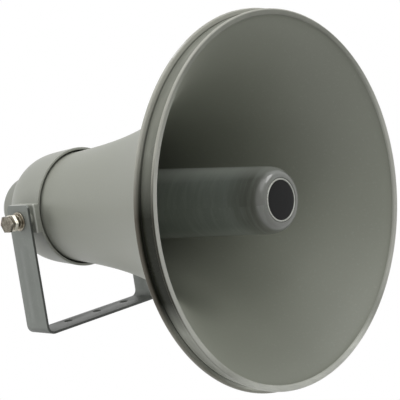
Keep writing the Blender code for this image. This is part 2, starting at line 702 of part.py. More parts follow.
def build_pivot_hardware(side, word):
    """From the bracket's arm outwards: flat washer, spring washer, lock nut and bolt."""
    hole = BOLT_HOLE

    def ring(name, start, length, radius, sides=20):
        made = bmesh.new()
        add_rod(made, (side * start, 0, 0), (side * (start + length), 0, 0), radius, sides)
        piece = add_object(name, made, steel, pivot)
        return piece

    def bored(piece, start, end):
        bore = new_rod((side * (start - 0.002), 0, 0), (side * (end + 0.002), 0, 0), hole)
        combine(piece, [bore], "DIFFERENCE")

    depth = BRACKET_WIDTH / 2 + GAP
    flat = ring(f"flat_washer_{word}", depth, FLAT_WASHER_THICKNESS, FLAT_WASHER_RADIUS)
    bored(flat, depth, depth + FLAT_WASHER_THICKNESS)
    depth += FLAT_WASHER_THICKNESS + GAP
    spring = ring(f"spring_washer_{word}", depth, SPRING_WASHER_THICKNESS, SPRING_WASHER_RADIUS)
    bored(spring, depth, depth + SPRING_WASHER_THICKNESS)
    slit = bmesh.new()
    add_box(slit, (-0.0006, 0, -0.006), (0.0006, 0.02, 0.006))
    bmesh.ops.rotate(slit, verts=slit.verts, matrix=Matrix.Rotation(math.radians(35), 3, "Y"))
    middle = side * (depth + SPRING_WASHER_THICKNESS / 2)
    bmesh.ops.translate(slit, verts=slit.verts, vec=(middle, 0, 0))
    combine(spring, [slit], "DIFFERENCE")
    depth += SPRING_WASHER_THICKNESS + GAP
    nut = add_object(f"lock_nut_{word}", hexagon(side * depth, side * (depth + NUT_LENGTH)), steel, pivot)
    bored(nut, depth, depth + NUT_LENGTH)
    depth += NUT_LENGTH + GAP
    head = hexagon(side * depth, side * (depth + BOLT_HEAD))
    bolt = add_object(f"pivot_bolt_{word}", head, steel, pivot)
    tip = ARM_FACE - BOLT_REACH - GAP
    shank = new_rod((side * (depth + 0.001), 0, 0), (side * tip, 0, 0), BOLT_RADIUS)
    combine(bolt, [shank], "UNION")


for old in list(bpy.data.objects):
    bpy.data.objects.remove(old)

paint = finish("grey_green_paint", 150, 152, 142, 0.42)
bracket_paint = finish("grey_bracket_paint", 126, 129, 124, 0.5)
cast_grey = finish("cast_aluminium", 150, 150, 148, 0.5, 0.7)
steel = finish("zinc_plated_steel", 190, 184, 172, 0.28, 1.0)
silver = finish("badge_border_silver", 196, 198, 192, 0.3, 0.6)
black_gloss = finish("badge_black_gloss", 16, 17, 18, 0.15)
black_plastic = finish("black_plastic", 28, 28, 28, 0.5)
rubber = finish("black_rubber", 30, 30, 30, 0.85)
ferrite = finish("ferrite", 52, 52, 54, 0.6)
copper = finish("copper_wire", 184, 110, 66, 0.35, 1.0)
phenolic = finish("phenolic_sheet", 140, 92, 48, 0.55)
plain = finish("helper_shape", 128, 128, 128, 0.8)

pivot = bpy.data.objects.new("horn_pivot", None)
bpy.context.collection.objects.link(pivot)
pivot.location.z = AXIS_HEIGHT

build_bell()
build_drum()
build_neck_gasket()
reflector_hub, reflector_screw_seat = build_reflector()
build_badge()
build_tone_arm()
build_spider(reflector_hub, reflector_screw_seat)
build_driver()
build_rear_cover()
build_bracket()
for side, word in ((-1, "left"), (1, "right")):
    build_pivot_hardware(side, word)
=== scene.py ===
# %% [markdown]
# A public address horn in grey-green paint, held by a bent steel strip. The solid frame of the object is
# loaded first. It holds every piece at its real size, and each finer piece below takes its place from it.

import math

import bmesh
import bpy
from mathutils import Matrix, Vector


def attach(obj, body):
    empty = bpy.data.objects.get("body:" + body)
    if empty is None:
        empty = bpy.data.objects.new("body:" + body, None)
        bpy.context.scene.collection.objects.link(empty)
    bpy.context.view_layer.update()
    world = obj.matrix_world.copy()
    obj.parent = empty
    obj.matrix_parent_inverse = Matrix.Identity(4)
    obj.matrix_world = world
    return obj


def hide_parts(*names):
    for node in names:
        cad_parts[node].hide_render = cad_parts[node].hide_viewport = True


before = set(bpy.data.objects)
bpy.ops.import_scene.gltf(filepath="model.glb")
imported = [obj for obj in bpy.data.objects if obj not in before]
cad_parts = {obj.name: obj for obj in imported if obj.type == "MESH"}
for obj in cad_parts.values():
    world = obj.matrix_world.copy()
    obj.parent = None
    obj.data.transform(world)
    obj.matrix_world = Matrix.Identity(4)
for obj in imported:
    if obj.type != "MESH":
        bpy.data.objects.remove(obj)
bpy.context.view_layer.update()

# %% [markdown]
# The camera stands in front of the mouth and to its left, a little above the horn, and leans by a few
# degrees. Its place and its aim were worked out from the rim, the tube and the bracket as the photograph
# shows them.

# %% Camera
CAMERA_SPOT = Vector((-0.917214, -1.101938, 0.297714))
CAMERA_RIGHT = Vector((0.674923, -0.722973, -0.147613))
CAMERA_UP = Vector((0.187885, -0.025076, 0.981871))
CAMERA_AHEAD = Vector((0.713568, 0.690421, -0.118912))

lens = bpy.data.cameras.new("camera")
lens.lens = 101.66
lens.sensor_width = 36
camera = bpy.data.objects.new("camera", lens)
bpy.context.scene.collection.objects.link(camera)
aim = Matrix((CAMERA_RIGHT, CAMERA_UP, -CAMERA_AHEAD)).transposed()
camera.matrix_world = Matrix.Translation(CAMERA_SPOT) @ aim.to_4x4()
bpy.context.scene.camera = camera
bpy.context.scene.view_settings.view_transform = "Standard"
print("camera", [round(v, 3) for v in CAMERA_SPOT])

# %% [markdown]
# The horn's pieces are round about one axis, which lies along Y at the height of the two pivot bolts. Depth
# 0 is the plane of the mouth, and depth grows towards the rear. Names for the main sizes come first.

# %% Main sizes, in metres
GAP = 0.0003
AXIS_HEIGHT = 0.142
PIVOT_DEPTH = 0.344
MOUTH_RADIUS = 0.2
DRUM_FRONT = 0.331
DRUM_BACK = 0.409
DOME_END = 0.4235
CAP_RADIUS = 0.0411
LUG_FACE = 0.08
LUG_FRONT = DRUM_FRONT + GAP
ARM_FACE = 0.0917
ARM_TOP = 0.162
STRIP_WIDTH = 0.04
BOLT_HOLE = 0.0054
THREE_WAYS = [math.radians(a) for a in (90, 210, 330)]

# %% [markdown]
# A shader works in linear light, but colours are easier to judge as screen values. These helpers convert a
# colour, add a node with its values, and start a node group with named sockets.

# %% Helpers for nodes
def screen(red, green, blue):
    """Linear colour from screen values of 0 to 255."""
    return tuple(v / 3294.6 if v <= 10 else ((v / 255 + 0.055) / 1.055) ** 2.4 for v in (red, green, blue))


def give(tree, socket, value):
    """Links a socket to a socket, or sets its value."""
    if isinstance(value, bpy.types.NodeSocket):
        tree.links.new(value, socket)
    elif socket.type == "RGBA" and len(value) == 3:
        socket.default_value = (*value, 1)
    else:
        socket.default_value = value


def add_node(tree, kind, inputs=None, **settings):
    """A node with its settings and its inputs, each by name or number."""
    node = tree.nodes.new(kind)
    for name, value in settings.items():
        setattr(node, name, value)
    for name, value in (inputs or {}).items():
        give(tree, node.inputs[name], value)
    return node


def object_spot(tree):
    """The place of each point on its piece."""
    return add_node(tree, "ShaderNodeTexCoord").outputs["Object"]


def split(tree, vector):
    """The three parts of a vector."""
    return add_node(tree, "ShaderNodeSeparateXYZ", {"Vector": vector}).outputs


def maths(tree, operation, *values, clamp=False):
    """The result of a Math node."""
    node = add_node(tree, "ShaderNodeMath", dict(enumerate(values)), operation=operation, use_clamp=clamp)
    return node.outputs[0]


def times(tree, first, second):
    """Two values multiplied."""
    return maths(tree, "MULTIPLY", first, second)


def noise(tree, vector, scale, detail=3.0, roughness=0.55):
    """The value of a Noise texture, from about 0.3 to 0.7."""
    inputs = {"Vector": vector, "Scale": scale, "Detail": detail, "Roughness": roughness}
    return add_node(tree, "ShaderNodeTexNoise", inputs).outputs["Fac"]


def ramp(tree, value, start, end, low=0.0, high=1.0):
    """Maps a value from one range to another, and keeps it inside."""
    inputs = {"Value": value, "From Min": start, "From Max": end, "To Min": low, "To Max": high}
    return add_node(tree, "ShaderNodeMapRange", inputs).outputs["Result"]


def blend_colour(tree, factor, first, second):
    """A colour between two, by the factor."""
    node = tree.nodes.new("ShaderNodeMix")
    node.data_type = "RGBA"
    colours = [socket for socket in node.inputs if socket.type == "RGBA"]
    give(tree, [socket for socket in node.inputs if socket.type == "VALUE"][0], factor)
    give(tree, colours[0], first)
    give(tree, colours[1], second)
    return [socket for socket in node.outputs if socket.type == "RGBA"][0]


def start_group(name, entries, results):
    """An empty shader group with named sockets, and what its entry gives and its exit takes."""
    group = bpy.data.node_groups.new(name, "ShaderNodeTree")
    kinds = {"colour": "NodeSocketColor", "value": "NodeSocketFloat", "vector": "NodeSocketVector"}
    for label, (kind, value) in entries.items():
        made = group.interface.new_socket(label, in_out="INPUT", socket_type=kinds[kind])
        made.default_value = value
    for label, kind in results.items():
        group.interface.new_socket(label, in_out="OUTPUT", socket_type=kinds[kind])
    return group, group.nodes.new("NodeGroupInput").outputs, group.nodes.new("NodeGroupOutput").inputs


def place_group(tree, group, **values):
    """Puts a group into a material and sets its inputs. An underscore stands for a space in a name."""
    node = tree.nodes.new("ShaderNodeGroup")
    node.node_tree = group
    for label, value in values.items():
        give(tree, node.inputs[label.replace("_", " ")], value)
    return node.outputs


# %% [markdown]
# Marks on a turned piece follow the turning. This group gives each point of the horn its distance from the
# axis, its depth behind the mouth, and a vector that runs round the piece, along it and outwards, for
# stretched grain.

# %% Group: place on a turned piece
TURNED, entry, leave = start_group(
    "Place on a turned piece", {}, {"Radius": "value", "Depth": "value", "Around": "vector"}
)
spot = object_spot(TURNED)
parts = split(TURNED, spot)
above = maths(TURNED, "SUBTRACT", parts["Z"], AXIS_HEIGHT)
squares = maths(TURNED, "ADD", maths(TURNED, "POWER", parts["X"], 2.0), maths(TURNED, "POWER", above, 2.0))
radius = maths(TURNED, "SQRT", squares)
depth = maths(TURNED, "ADD", parts["Y"], PIVOT_DEPTH)
angle = maths(TURNED, "ARCTAN2", above, parts["X"])
swept = times(TURNED, angle, radius)
around = add_node(TURNED, "ShaderNodeCombineXYZ", {"X": swept, "Y": depth, "Z": radius}).outputs[0]
for label, value in (("Radius", radius), ("Depth", depth), ("Around", around)):
    TURNED.links.new(value, leave[label])
print("group", TURNED.name, len(TURNED.nodes), "nodes")

# %% [markdown]
# Sprayed paint is never quite even. Its gloss has a fine orange peel, its tone drifts slowly where the coat
# is thicker, and dust settles in it. One group makes all three, and each painted piece takes it at its own
# strength.

# %% Group: sprayed paint
PAINT, entry, leave = start_group(
    "Sprayed paint",
    {
        "Colour": ("colour", (0.3, 0.3, 0.27, 1)),
        "Drift": ("value", 0.1),
        "Drift Scale": ("value", 9.0),
        "Peel Scale": ("value", 650.0),
        "Dust": ("value", 0.15),
        "Roughness": ("value", 0.4),
    },
    {"Colour": "colour", "Roughness": "value", "Height": "value"},
)
spot = object_spot(PAINT)
slow = maths(PAINT, "SUBTRACT", noise(PAINT, spot, entry["Drift Scale"], 5.0, 0.6), 0.5)
tone = maths(PAINT, "MULTIPLY_ADD", slow, entry["Drift"], 1.0)
toned = add_node(PAINT, "ShaderNodeVectorMath", {0: entry["Colour"]}, operation="SCALE")
PAINT.links.new(tone, toned.inputs["Scale"])
specks = ramp(PAINT, noise(PAINT, spot, 300.0, 3.0, 0.7), 0.56, 0.78)
dust = times(PAINT, specks, entry["Dust"])
PAINT.links.new(blend_colour(PAINT, dust, toned.outputs[0], screen(198, 199, 192)), leave["Colour"])
rough = maths(PAINT, "MULTIPLY_ADD", slow, 0.2, entry["Roughness"])
PAINT.links.new(maths(PAINT, "MULTIPLY_ADD", dust, 0.35, rough), leave["Roughness"])
PAINT.links.new(noise(PAINT, spot, entry["Peel Scale"], 2.0, 0.5), leave["Height"])
print("group", PAINT.name, len(PAINT.nodes), "nodes")

# %% [markdown]
# Where a rim or the edge of a strip is knocked, the paint chips and the metal under it shows pale. The group
# breaks up a mask of the exposed places, so that only ragged spots of it chip.

# %% Group: chipped paint
CHIPS, entry, leave = start_group(
    "Chipped paint",
    {
        "Colour": ("colour", (0.3, 0.3, 0.27, 1)),
        "Under": ("colour", (*screen(206, 206, 200), 1)),
        "Exposed": ("value", 0.0),
        "Size": ("value", 90.0),
        "Amount": ("value", 0.5),
    },
    {"Colour": "colour", "Chip": "value"},
)
spot = object_spot(CHIPS)
ragged = noise(CHIPS, spot, entry["Size"], 5.0, 0.7)
wanted = maths(CHIPS, "MULTIPLY_ADD", entry["Amount"], -0.3, 0.8)
over = maths(CHIPS, "SUBTRACT", ragged, wanted)
chip = maths(CHIPS, "MULTIPLY", ramp(CHIPS, over, 0.0, 0.03), entry["Exposed"], clamp=True)
CHIPS.links.new(blend_colour(CHIPS, chip, entry["Colour"], entry["Under"]), leave["Colour"])
CHIPS.links.new(chip, leave["Chip"])
print("group", CHIPS.name, len(CHIPS.nodes), "nodes")

# %% [markdown]
# The painted finishes follow. The bell, the drum and the cover have a grey-green coat. Inside the mouth
# it is a little rougher and painted darker as painted shade, and the cover's coat is painted a little darker
# as painted shade too. The rolled rim's coat is glossier and painted dark as painted shade, with painted
# light and reflection above and below, a painted highlight on the lip, painted shade in its groove and
# chips on the flange.

# %% Painted finishes
def new_material(name):
    """A material, its tree and its Principled shader."""
    made = bpy.data.materials.new(name)
    made.use_nodes = True
    return made, made.node_tree, made.node_tree.nodes["Principled BSDF"]


def relief(tree, shader, height, strength, distance):
    """Feeds a height to the shader's normal."""
    bump = add_node(tree, "ShaderNodeBump", {"Strength": strength, "Distance": distance, "Height": height})
    tree.links.new(bump.outputs["Normal"], shader.inputs["Normal"])


def lay_coat(tree, shader, colour, paint, peel, distance=0.0005):
    """Gives the shader a colour, and the gloss and the relief of the sprayed paint."""
    tree.links.new(colour, shader.inputs["Base Color"])
    tree.links.new(paint["Roughness"], shader.inputs["Roughness"])
    relief(tree, shader, paint["Height"], peel, distance)


def painted(name, colour, roughness, drift=0.14):
    """A plain sprayed coat."""
    made, tree, shader = new_material(name)
    paint = place_group(tree, PAINT, Colour=screen(*colour), Roughness=roughness, Drift=drift, Dust=0.12)
    lay_coat(tree, shader, paint["Colour"], paint, 0.06)
    return made


def drum_finish():
    """The drum's coat, with a painted highlight on the upright front edges of its two blocks."""
    made = painted("drum_paint", (156, 158, 149), 0.42, drift=0.1)
    tree, shader = made.node_tree, made.node_tree.nodes["Principled BSDF"]
    coat = shader.inputs["Base Color"].links[0].from_socket
    parts = split(tree, object_spot(tree))
    side = maths(tree, "ABSOLUTE", parts["X"])
    inside_face = ramp(tree, side, LUG_FACE - 0.0018, LUG_FACE - 0.0010)
    corner = times(tree, inside_face, ramp(tree, side, LUG_FACE + 0.0002, LUG_FACE - 0.0001))
    front = LUG_FRONT - PIVOT_DEPTH
    # The pale line on the front edge of each block is a painted highlight.
    painted_edge_highlight = times(tree, corner, ramp(tree, parts["Y"], front + 0.0023, front + 0.0013, 0.0, 0.75))
    tree.links.new(blend_colour(tree, painted_edge_highlight, coat, screen(222, 224, 216)), shader.inputs["Base Color"])
    return made


# Heights at which the rim's painted light and the lip's painted highlight begin and are full, and the places
# of its two worst knocks.
LOW_PAINTED_LIGHT = AXIS_HEIGHT - 0.064, AXIS_HEIGHT - 0.100
LOWEST_PAINTED_LIGHT = AXIS_HEIGHT - 0.150, AXIS_HEIGHT - 0.182
HIGH_PAINTED_LIGHT = AXIS_HEIGHT + 0.020, AXIS_HEIGHT + 0.080
LIP_SHINES_BELOW = AXIS_HEIGHT + 0.050, AXIS_HEIGHT + 0.150
LIP_SHINES_ABOVE = AXIS_HEIGHT - 0.155, AXIS_HEIGHT - 0.115
KNOCKS = (-0.1117, -0.3245, 0.3139), (-0.0066, -0.3245, 0.3469)


def rim_band(tree, coat, place, height, high):
    """The band's dark coat with painted light above and below, broken by scuffs, and the flange's browner
    edge.
    """
    # Painted light: the band and the flange's edge are painted paler towards the top and the bottom, in place
    # of the light and reflection there.
    low = ramp(tree, height, *LOW_PAINTED_LIGHT)
    stretched = add_node(tree, "ShaderNodeMapping", {"Vector": place["Around"], "Scale": (16, 90, 16)})
    scuffed_light = ramp(tree, noise(tree, stretched.outputs[0], 1.0, 5.0, 0.65), 0.40, 0.62, 0.74, 0.96)
    pale = blend_colour(tree, ramp(tree, height, *LOWEST_PAINTED_LIGHT), screen(162, 164, 154), screen(230, 232, 222))
    band = blend_colour(tree, times(tree, low, scuffed_light), coat, pale)
    band = blend_colour(tree, times(tree, high, scuffed_light), band, screen(136, 138, 128))
    brown = blend_colour(tree, low, screen(112, 107, 97), screen(140, 138, 128))
    flange = blend_colour(tree, high, brown, screen(192, 192, 182))
    start = maths(tree, "MULTIPLY_ADD", high, -0.0015, MOUTH_RADIUS + 0.0012)
    end = maths(tree, "MULTIPLY_ADD", high, -0.0026, MOUTH_RADIUS + 0.0034)
    return blend_colour(tree, ramp(tree, place["Radius"], start, end, 0.0, 0.8), band, flange)


def lip_painted_highlight(tree, place, height):
    """How strongly the painted highlight on the lip's front shows, by height."""
    below = ramp(tree, height, *LIP_SHINES_BELOW, 0.88, 0.15)
    painted_highlight = maths(tree, "MINIMUM", below, ramp(tree, height, *LIP_SHINES_ABOVE, 0.2, 0.88))
    inward = ramp(tree, place["Radius"], MOUTH_RADIUS + 0.0013, MOUTH_RADIUS + 0.0006)
    return times(tree, times(tree, inward, ramp(tree, place["Depth"], 0.0018, 0.0008)), painted_highlight)


def knocked(tree, spot):
    """How much of the flange's edge chips: more near the two knocks."""
    away = []
    for middle in KNOCKS:
        measure = add_node(tree, "ShaderNodeVectorMath", {0: spot, 1: middle}, operation="DISTANCE")
        away.append(measure.outputs["Value"])
    return ramp(tree, maths(tree, "MINIMUM", *away), 0.024, 0.008, 0.3, 1.5)


def rim_finish():
    """The rim's glossier coat, painted dark as shade, with a painted lip highlight, chips and painted groove
    shade.
    """
    made, tree, shader = new_material("rim_paint")
    # The rim's dark base colour is painted shade, standing in for the band's shade and dark reflection.
    dark = screen(36, 38, 29)
    paint = place_group(tree, PAINT, Colour=dark, Roughness=0.3, Drift=0.3, Drift_Scale=14.0, Dust=0.05)
    place = place_group(tree, TURNED)
    spot = object_spot(tree)
    height = split(tree, spot)["Z"]
    high = ramp(tree, height, *HIGH_PAINTED_LIGHT)
    band = rim_band(tree, paint["Colour"], place, height, high)
    # The pale lip is a painted highlight along the lip's front.
    lip = blend_colour(tree, lip_painted_highlight(tree, place, height), band, screen(196, 197, 188))
    outer = ramp(tree, place["Radius"], MOUTH_RADIUS + 0.0042, MOUTH_RADIUS + 0.0050)
    chips = place_group(tree, CHIPS, Colour=lip, Exposed=outer, Size=260.0, Amount=knocked(tree, spot))
    # Painted shade: the groove is painted darker, less so near the top.
    sunk = ramp(tree, place["Radius"], MOUTH_RADIUS - 0.0004, MOUTH_RADIUS - 0.0009, 0.0, 0.8)
    painted_groove_shade = times(tree, sunk, ramp(tree, place["Depth"], 0.0120, 0.0150))
    painted_groove_shade = times(tree, painted_groove_shade, ramp(tree, high, 0.0, 1.0, 1.0, 0.4))
    colour = blend_colour(tree, painted_groove_shade, chips["Colour"], screen(26, 26, 22))
    lay_coat(tree, shader, colour, paint, 0.04)
    shader.inputs["Specular IOR Level"].default_value = 0.16
    return made


def tube_finish():
    """The reflector's cooler coat: faint slanting streaks, painted shade on the nose, painted light and dust
    on top.
    """
    made, tree, shader = new_material("reflector_paint")
    paint = place_group(tree, PAINT, Colour=screen(130, 137, 131), Roughness=0.4, Drift=0.12, Dust=0.15)
    place = place_group(tree, TURNED)
    turns = {"Vector": place["Around"], "Rotation": (0, 0, 0.7), "Scale": (14, 120, 14)}
    slant = add_node(tree, "ShaderNodeMapping", turns).outputs[0]
    streaks = ramp(tree, noise(tree, slant, 1.0, 4.0, 0.6), 0.48, 0.75, 0.0, 0.22)
    # The nose is painted darker than the rest of the tube: painted shade.
    nose = ramp(tree, place["Depth"], 0.060, 0.025)
    coat = blend_colour(tree, nose, paint["Colour"], screen(94, 96, 89))
    # Painted light: the top of the tube is paler where the light from above falls, and dust has settled there
    # too.
    height = split(tree, object_spot(tree))["Z"]
    top_light_and_dust = ramp(tree, height, AXIS_HEIGHT + 0.027, AXIS_HEIGHT + 0.037, 0.0, 0.5)
    coat = blend_colour(tree, top_light_and_dust, coat, screen(190, 194, 188))
    lay_coat(tree, shader, blend_colour(tree, streaks, coat, screen(176, 184, 178)), paint, 0.05)
    shader.inputs["Coat Weight"].default_value = 0.9
    shader.inputs["Coat Roughness"].default_value = 0.12
    return made


def strip_finish():
    """The bracket's thin coat: painted shade on the cut edges, a painted highlight on the arm ends, darker on
    the bar.
    """
    made, tree, shader = new_material("bracket_paint")
    parts = split(tree, object_spot(tree))
    grey = screen(128, 132, 127)
    paint = place_group(tree, PAINT, Colour=grey, Roughness=0.42, Drift=0.3, Drift_Scale=22.0)
    # The bar and the foot of each bend are painted darker.
    bar_darkening = ramp(tree, parts["Z"], 0.0100, 0.0020, 0.0, 0.9)
    colour = blend_colour(tree, bar_darkening, paint["Colour"], screen(76, 78, 74))
    across = maths(tree, "ABSOLUTE", parts["Y"])
    # The dark colour on the narrow cut edges is painted shade; the chips on those edges are wear.
    cut = ramp(tree, across, STRIP_WIDTH / 2 - 0.0006, STRIP_WIDTH / 2 - 0.0002)
    colour = blend_colour(tree, cut, colour, screen(72, 75, 71))
    chips = place_group(tree, CHIPS, Colour=colour, Exposed=cut, Size=120.0, Amount=0.2)
    # The pale ends of the arms are a painted highlight along their top edges.
    end = ramp(tree, parts["Z"], ARM_TOP - 0.0008, ARM_TOP - 0.0002, 0.0, 0.8)
    painted_highlight = blend_colour(tree, end, chips["Colour"], screen(208, 210, 204))
    lay_coat(tree, shader, painted_highlight, paint, 0.08, 0.0004)
    shader.inputs["Metallic"].default_value = 0.1
    return made


bell_paint = painted("bell_paint", (151, 153, 143), 0.44)
# The inside of the bell has a darker copy of the bell's paint: painted shade.
shaded_inside_paint = painted("bell_inside_paint", (142, 145, 133), 0.46, drift=0.16)
drum_paint = drum_finish()
# The cover's paint is a slightly darker copy of the bell's: painted shade.
cover_paint = painted("cover_paint", (144, 146, 138), 0.44, drift=0.1)
rim_paint = rim_finish()
tube_paint = tube_finish()
strip_paint = strip_finish()
paints = bell_paint, shaded_inside_paint, drum_paint, cover_paint, rim_paint, tube_paint, strip_paint
print("painted finishes:", [paint.name for paint in paints])

# %% [markdown]
# The bolts are zinc-plated: bright, slightly warm, with fine lines from rolling and a few dull stains.
# Rubber, ferrite, copper and the rest are simple grained finishes, and most of them are hidden inside.

# %% Metal, rubber and plastic finishes
def grained(name, colour, roughness, metallic=0.0, scale=400.0, grit=0.2, spread=0.14, gloss=0.5):
    """One colour with a fine grain in its tone, its gloss and its relief."""
    made, tree, shader = new_material(name)
    spot = object_spot(tree)
    grain = noise(tree, spot, scale, 4.0, 0.6)
    base = screen(*colour)
    dark, light = (tuple(min(1.0, v * share) for v in base) for share in (1 - spread, 1 + spread))
    tone = blend_colour(tree, ramp(tree, grain, 0.35, 0.65), dark, light)
    tree.links.new(tone, shader.inputs["Base Color"])
    spots = ramp(tree, grain, 0.35, 0.65, roughness * 0.85, min(1.0, roughness * 1.15))
    tree.links.new(spots, shader.inputs["Roughness"])
    relief(tree, shader, grain, grit, 0.0001)
    shader.inputs["Metallic"].default_value = metallic
    shader.inputs["Specular IOR Level"].default_value = gloss
    return made


def plated_steel(name, bright, stained, gloss):
    """Zinc plate with drawn lines and duller stains."""
    made, tree, shader = new_material(name)
    spot = object_spot(tree)
    drawn = add_node(tree, "ShaderNodeMapping", {"Vector": spot, "Scale": (80, 1100, 1100)}).outputs[0]
    lines = noise(tree, drawn, 1.0, 3.0, 0.6)
    stains = ramp(tree, noise(tree, spot, 220.0, 4.0, 0.65), 0.45, 0.72)
    colour = blend_colour(tree, stains, screen(*bright), screen(*stained))
    tree.links.new(colour, shader.inputs["Base Color"])
    tree.links.new(ramp(tree, lines, 0.3, 0.7, gloss, gloss + 0.18), shader.inputs["Roughness"])
    relief(tree, shader, lines, 0.15, 0.0001)
    shader.inputs["Metallic"].default_value = 1.0
    return made


steel = plated_steel("zinc_plated_steel", (136, 131, 120), (80, 72, 60), 0.12)
bright_steel = plated_steel("bright_zinc_steel", (252, 248, 236), (226, 218, 200), 0.4)
dull_steel = plated_steel("dull_zinc_steel", (176, 170, 156), (112, 102, 88), 0.25)
FINISHES = {
    "cast_aluminium": grained("cast_aluminium", (160, 160, 156), 0.5, metallic=0.7, scale=600.0, grit=0.4),
    "zinc_plated_steel": steel,
    "silver_border": grained("badge_border", (188, 190, 182), 0.3, metallic=0.3, scale=700.0, spread=0.06),
    "black_gloss": grained("badge_black", (12, 13, 13), 0.14, 0.0, 120.0, grit=0.03, spread=0.25, gloss=0.15),
    "black_plastic": grained("black_plastic", (36, 36, 36), 0.45, scale=500.0),
    "black_rubber": grained("black_rubber", (32, 32, 31), 0.8, scale=300.0, grit=0.3),
    "ferrite": grained("ferrite", (54, 54, 56), 0.65, scale=350.0, grit=0.4),
    "copper_wire": grained("copper_wire", (184, 110, 66), 0.3, metallic=1.0, scale=900.0),
    "phenolic_sheet": grained("phenolic_sheet", (140, 92, 48), 0.55, scale=250.0),
}
print("other finishes:", sorted(FINISHES))

# %% [markdown]
# The bell of the real horn is spun from one sheet on a lathe, and the tube and the covers are turned or
# drawn to round shapes as well. The Screw modifier or bmesh's spin could do it. A Geometry Nodes tree is
# clearer here: it takes the outline as a line of edges and sweeps it along a circle, and its inputs are the
# number of sides and the finish, so one tree serves every round piece.

# %% Lathe tree
LATHE_CIRCLE = 0.1


def start_shape_tree(name, **entries):
    """A Geometry Nodes tree with named inputs, and what its entry gives and its exit takes."""
    tree = bpy.data.node_groups.new(name, "GeometryNodeTree")
    tree.interface.new_socket("Geometry", in_out="INPUT", socket_type="NodeSocketGeometry")
    for label, kind in entries.items():
        tree.interface.new_socket(label, in_out="INPUT", socket_type="NodeSocket" + kind)
    tree.interface.new_socket("Geometry", in_out="OUTPUT", socket_type="NodeSocketGeometry")
    return tree, tree.nodes.new("NodeGroupInput").outputs, tree.nodes.new("NodeGroupOutput").inputs


def end_shape_tree(tree, entry, leave, shape):
    """Ends a tree in real geometry with its finish."""
    real = add_node(tree, "GeometryNodeRealizeInstances", {"Geometry": shape}).outputs[0]
    finished = add_node(tree, "GeometryNodeSetMaterial", {"Geometry": real, "Material": entry["Finish"]})
    tree.links.new(finished.outputs["Geometry"], leave["Geometry"])


def lathe_tree():
    """Sweeps the line of edges that comes in along a circle."""
    tree, entry, leave = start_shape_tree("Lathe", Sides="Int", Finish="Material")
    outline = add_node(tree, "GeometryNodeMeshToCurve", {"Mesh": entry["Geometry"]}).outputs["Curve"]
    sizes = {"Resolution": entry["Sides"], "Radius": LATHE_CIRCLE}
    circle = add_node(tree, "GeometryNodeCurvePrimitiveCircle", sizes).outputs["Curve"]
    turned = add_node(tree, "GeometryNodeCurveToMesh", {"Curve": circle, "Profile Curve": outline})
    end_shape_tree(tree, entry, leave, turned.outputs["Mesh"])
    return tree


LATHE = lathe_tree()


def new_object(name, mesh):
    made = bpy.data.objects.new(name, mesh)
    bpy.context.scene.collection.objects.link(made)
    return made


def bake(source, name):
    """A plain object of what the source's modifiers make. The source and its modifiers go."""
    mesh = bpy.data.meshes.new_from_object(source.evaluated_get(bpy.context.evaluated_depsgraph_get()))
    bpy.data.objects.remove(source)
    mesh.name = name
    return new_object(name, mesh)


def grow(name, tree, mesh=None, **inputs):
    """A plain object of what a Geometry Nodes tree makes of a mesh and its named inputs."""
    source = new_object(name + "_source", mesh or bpy.data.meshes.new(name + "_source"))
    shape = source.modifiers.new("shape", "NODES")
    shape.node_group = tree
    sockets = {item.name: item.identifier for item in tree.interface.items_tree}
    for label, value in inputs.items():
        shape[sockets[label]] = value
    return bake(source, name)


def turn(piece, degrees, axis):
    """Turns a piece's mesh about the origin."""
    piece.data.transform(Matrix.Rotation(math.radians(degrees), 4, axis))


def shift(piece, offset):
    piece.data.transform(Matrix.Translation(offset))


def coat(piece, finish):
    """Gives the whole piece one finish."""
    piece.data.materials.clear()
    piece.data.materials.append(finish)


def tidy_faces(piece, sharp_angle=32):
    """Merges doubles, points the faces outwards, and shades smooth between sharp edges."""
    work = bmesh.new()
    work.from_mesh(piece.data)
    bmesh.ops.remove_doubles(work, verts=work.verts, dist=2e-6)
    bmesh.ops.recalc_face_normals(work, faces=work.faces)
    work.to_mesh(piece.data)
    work.free()
    piece.data.shade_smooth()
    piece.data.set_sharp_from_angle(angle=math.radians(sharp_angle))
    return piece


def turned_piece(name, outline, finish, sides=144, sharp_angle=32):
    """Spins a closed outline of (depth, radius) points about the horn's axis."""
    count = len(outline)
    edges = [(i, (i + 1) % count) for i in range(count)]
    edges = [pair for pair in edges if max(outline[end][1] for end in pair) > 0]
    mesh = bpy.data.meshes.new(name + "_outline")
    mesh.from_pydata([(radius - LATHE_CIRCLE, depth, 0) for depth, radius in outline], edges, [])
    made = grow(name, LATHE, mesh, Sides=sides, Finish=finish)
    turn(made, 90, "X")
    shift(made, (0, -PIVOT_DEPTH, AXIS_HEIGHT))
    return tidy_faces(made, sharp_angle)


def arc(depth, radius, bend, start, end, steps):
    """Points of a round stretch about (depth, radius), by angles in degrees from the depth axis."""
    angles = [math.radians(start + (end - start) * i / steps) for i in range(steps + 1)]
    return [(depth + bend * math.cos(a), radius + bend * math.sin(a)) for a in angles]


def bezier(points, steps):
    """Points of a curve through (depth, radius) controls."""
    order = len(points) - 1
    found = []
    for i in range(steps + 1):
        s = i / steps
        weights = [math.comb(order, k) * s**k * (1 - s) ** (order - k) for k in range(order + 1)]
        found.append(tuple(sum(w * p[axis] for w, p in zip(weights, points)) for axis in (0, 1)))
    return found


def belongs(piece, body, slot, *nodes):
    """Ties a finished piece to its body and hides the solids that it stands for. The name of their finish is
    not used.
    """
    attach(piece, body)
    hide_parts(*nodes)
    print(piece.name, "stands for", ", ".join(nodes), "with", len(piece.data.polygons), "faces")


print("lathe tree has", len(LATHE.nodes), "nodes")

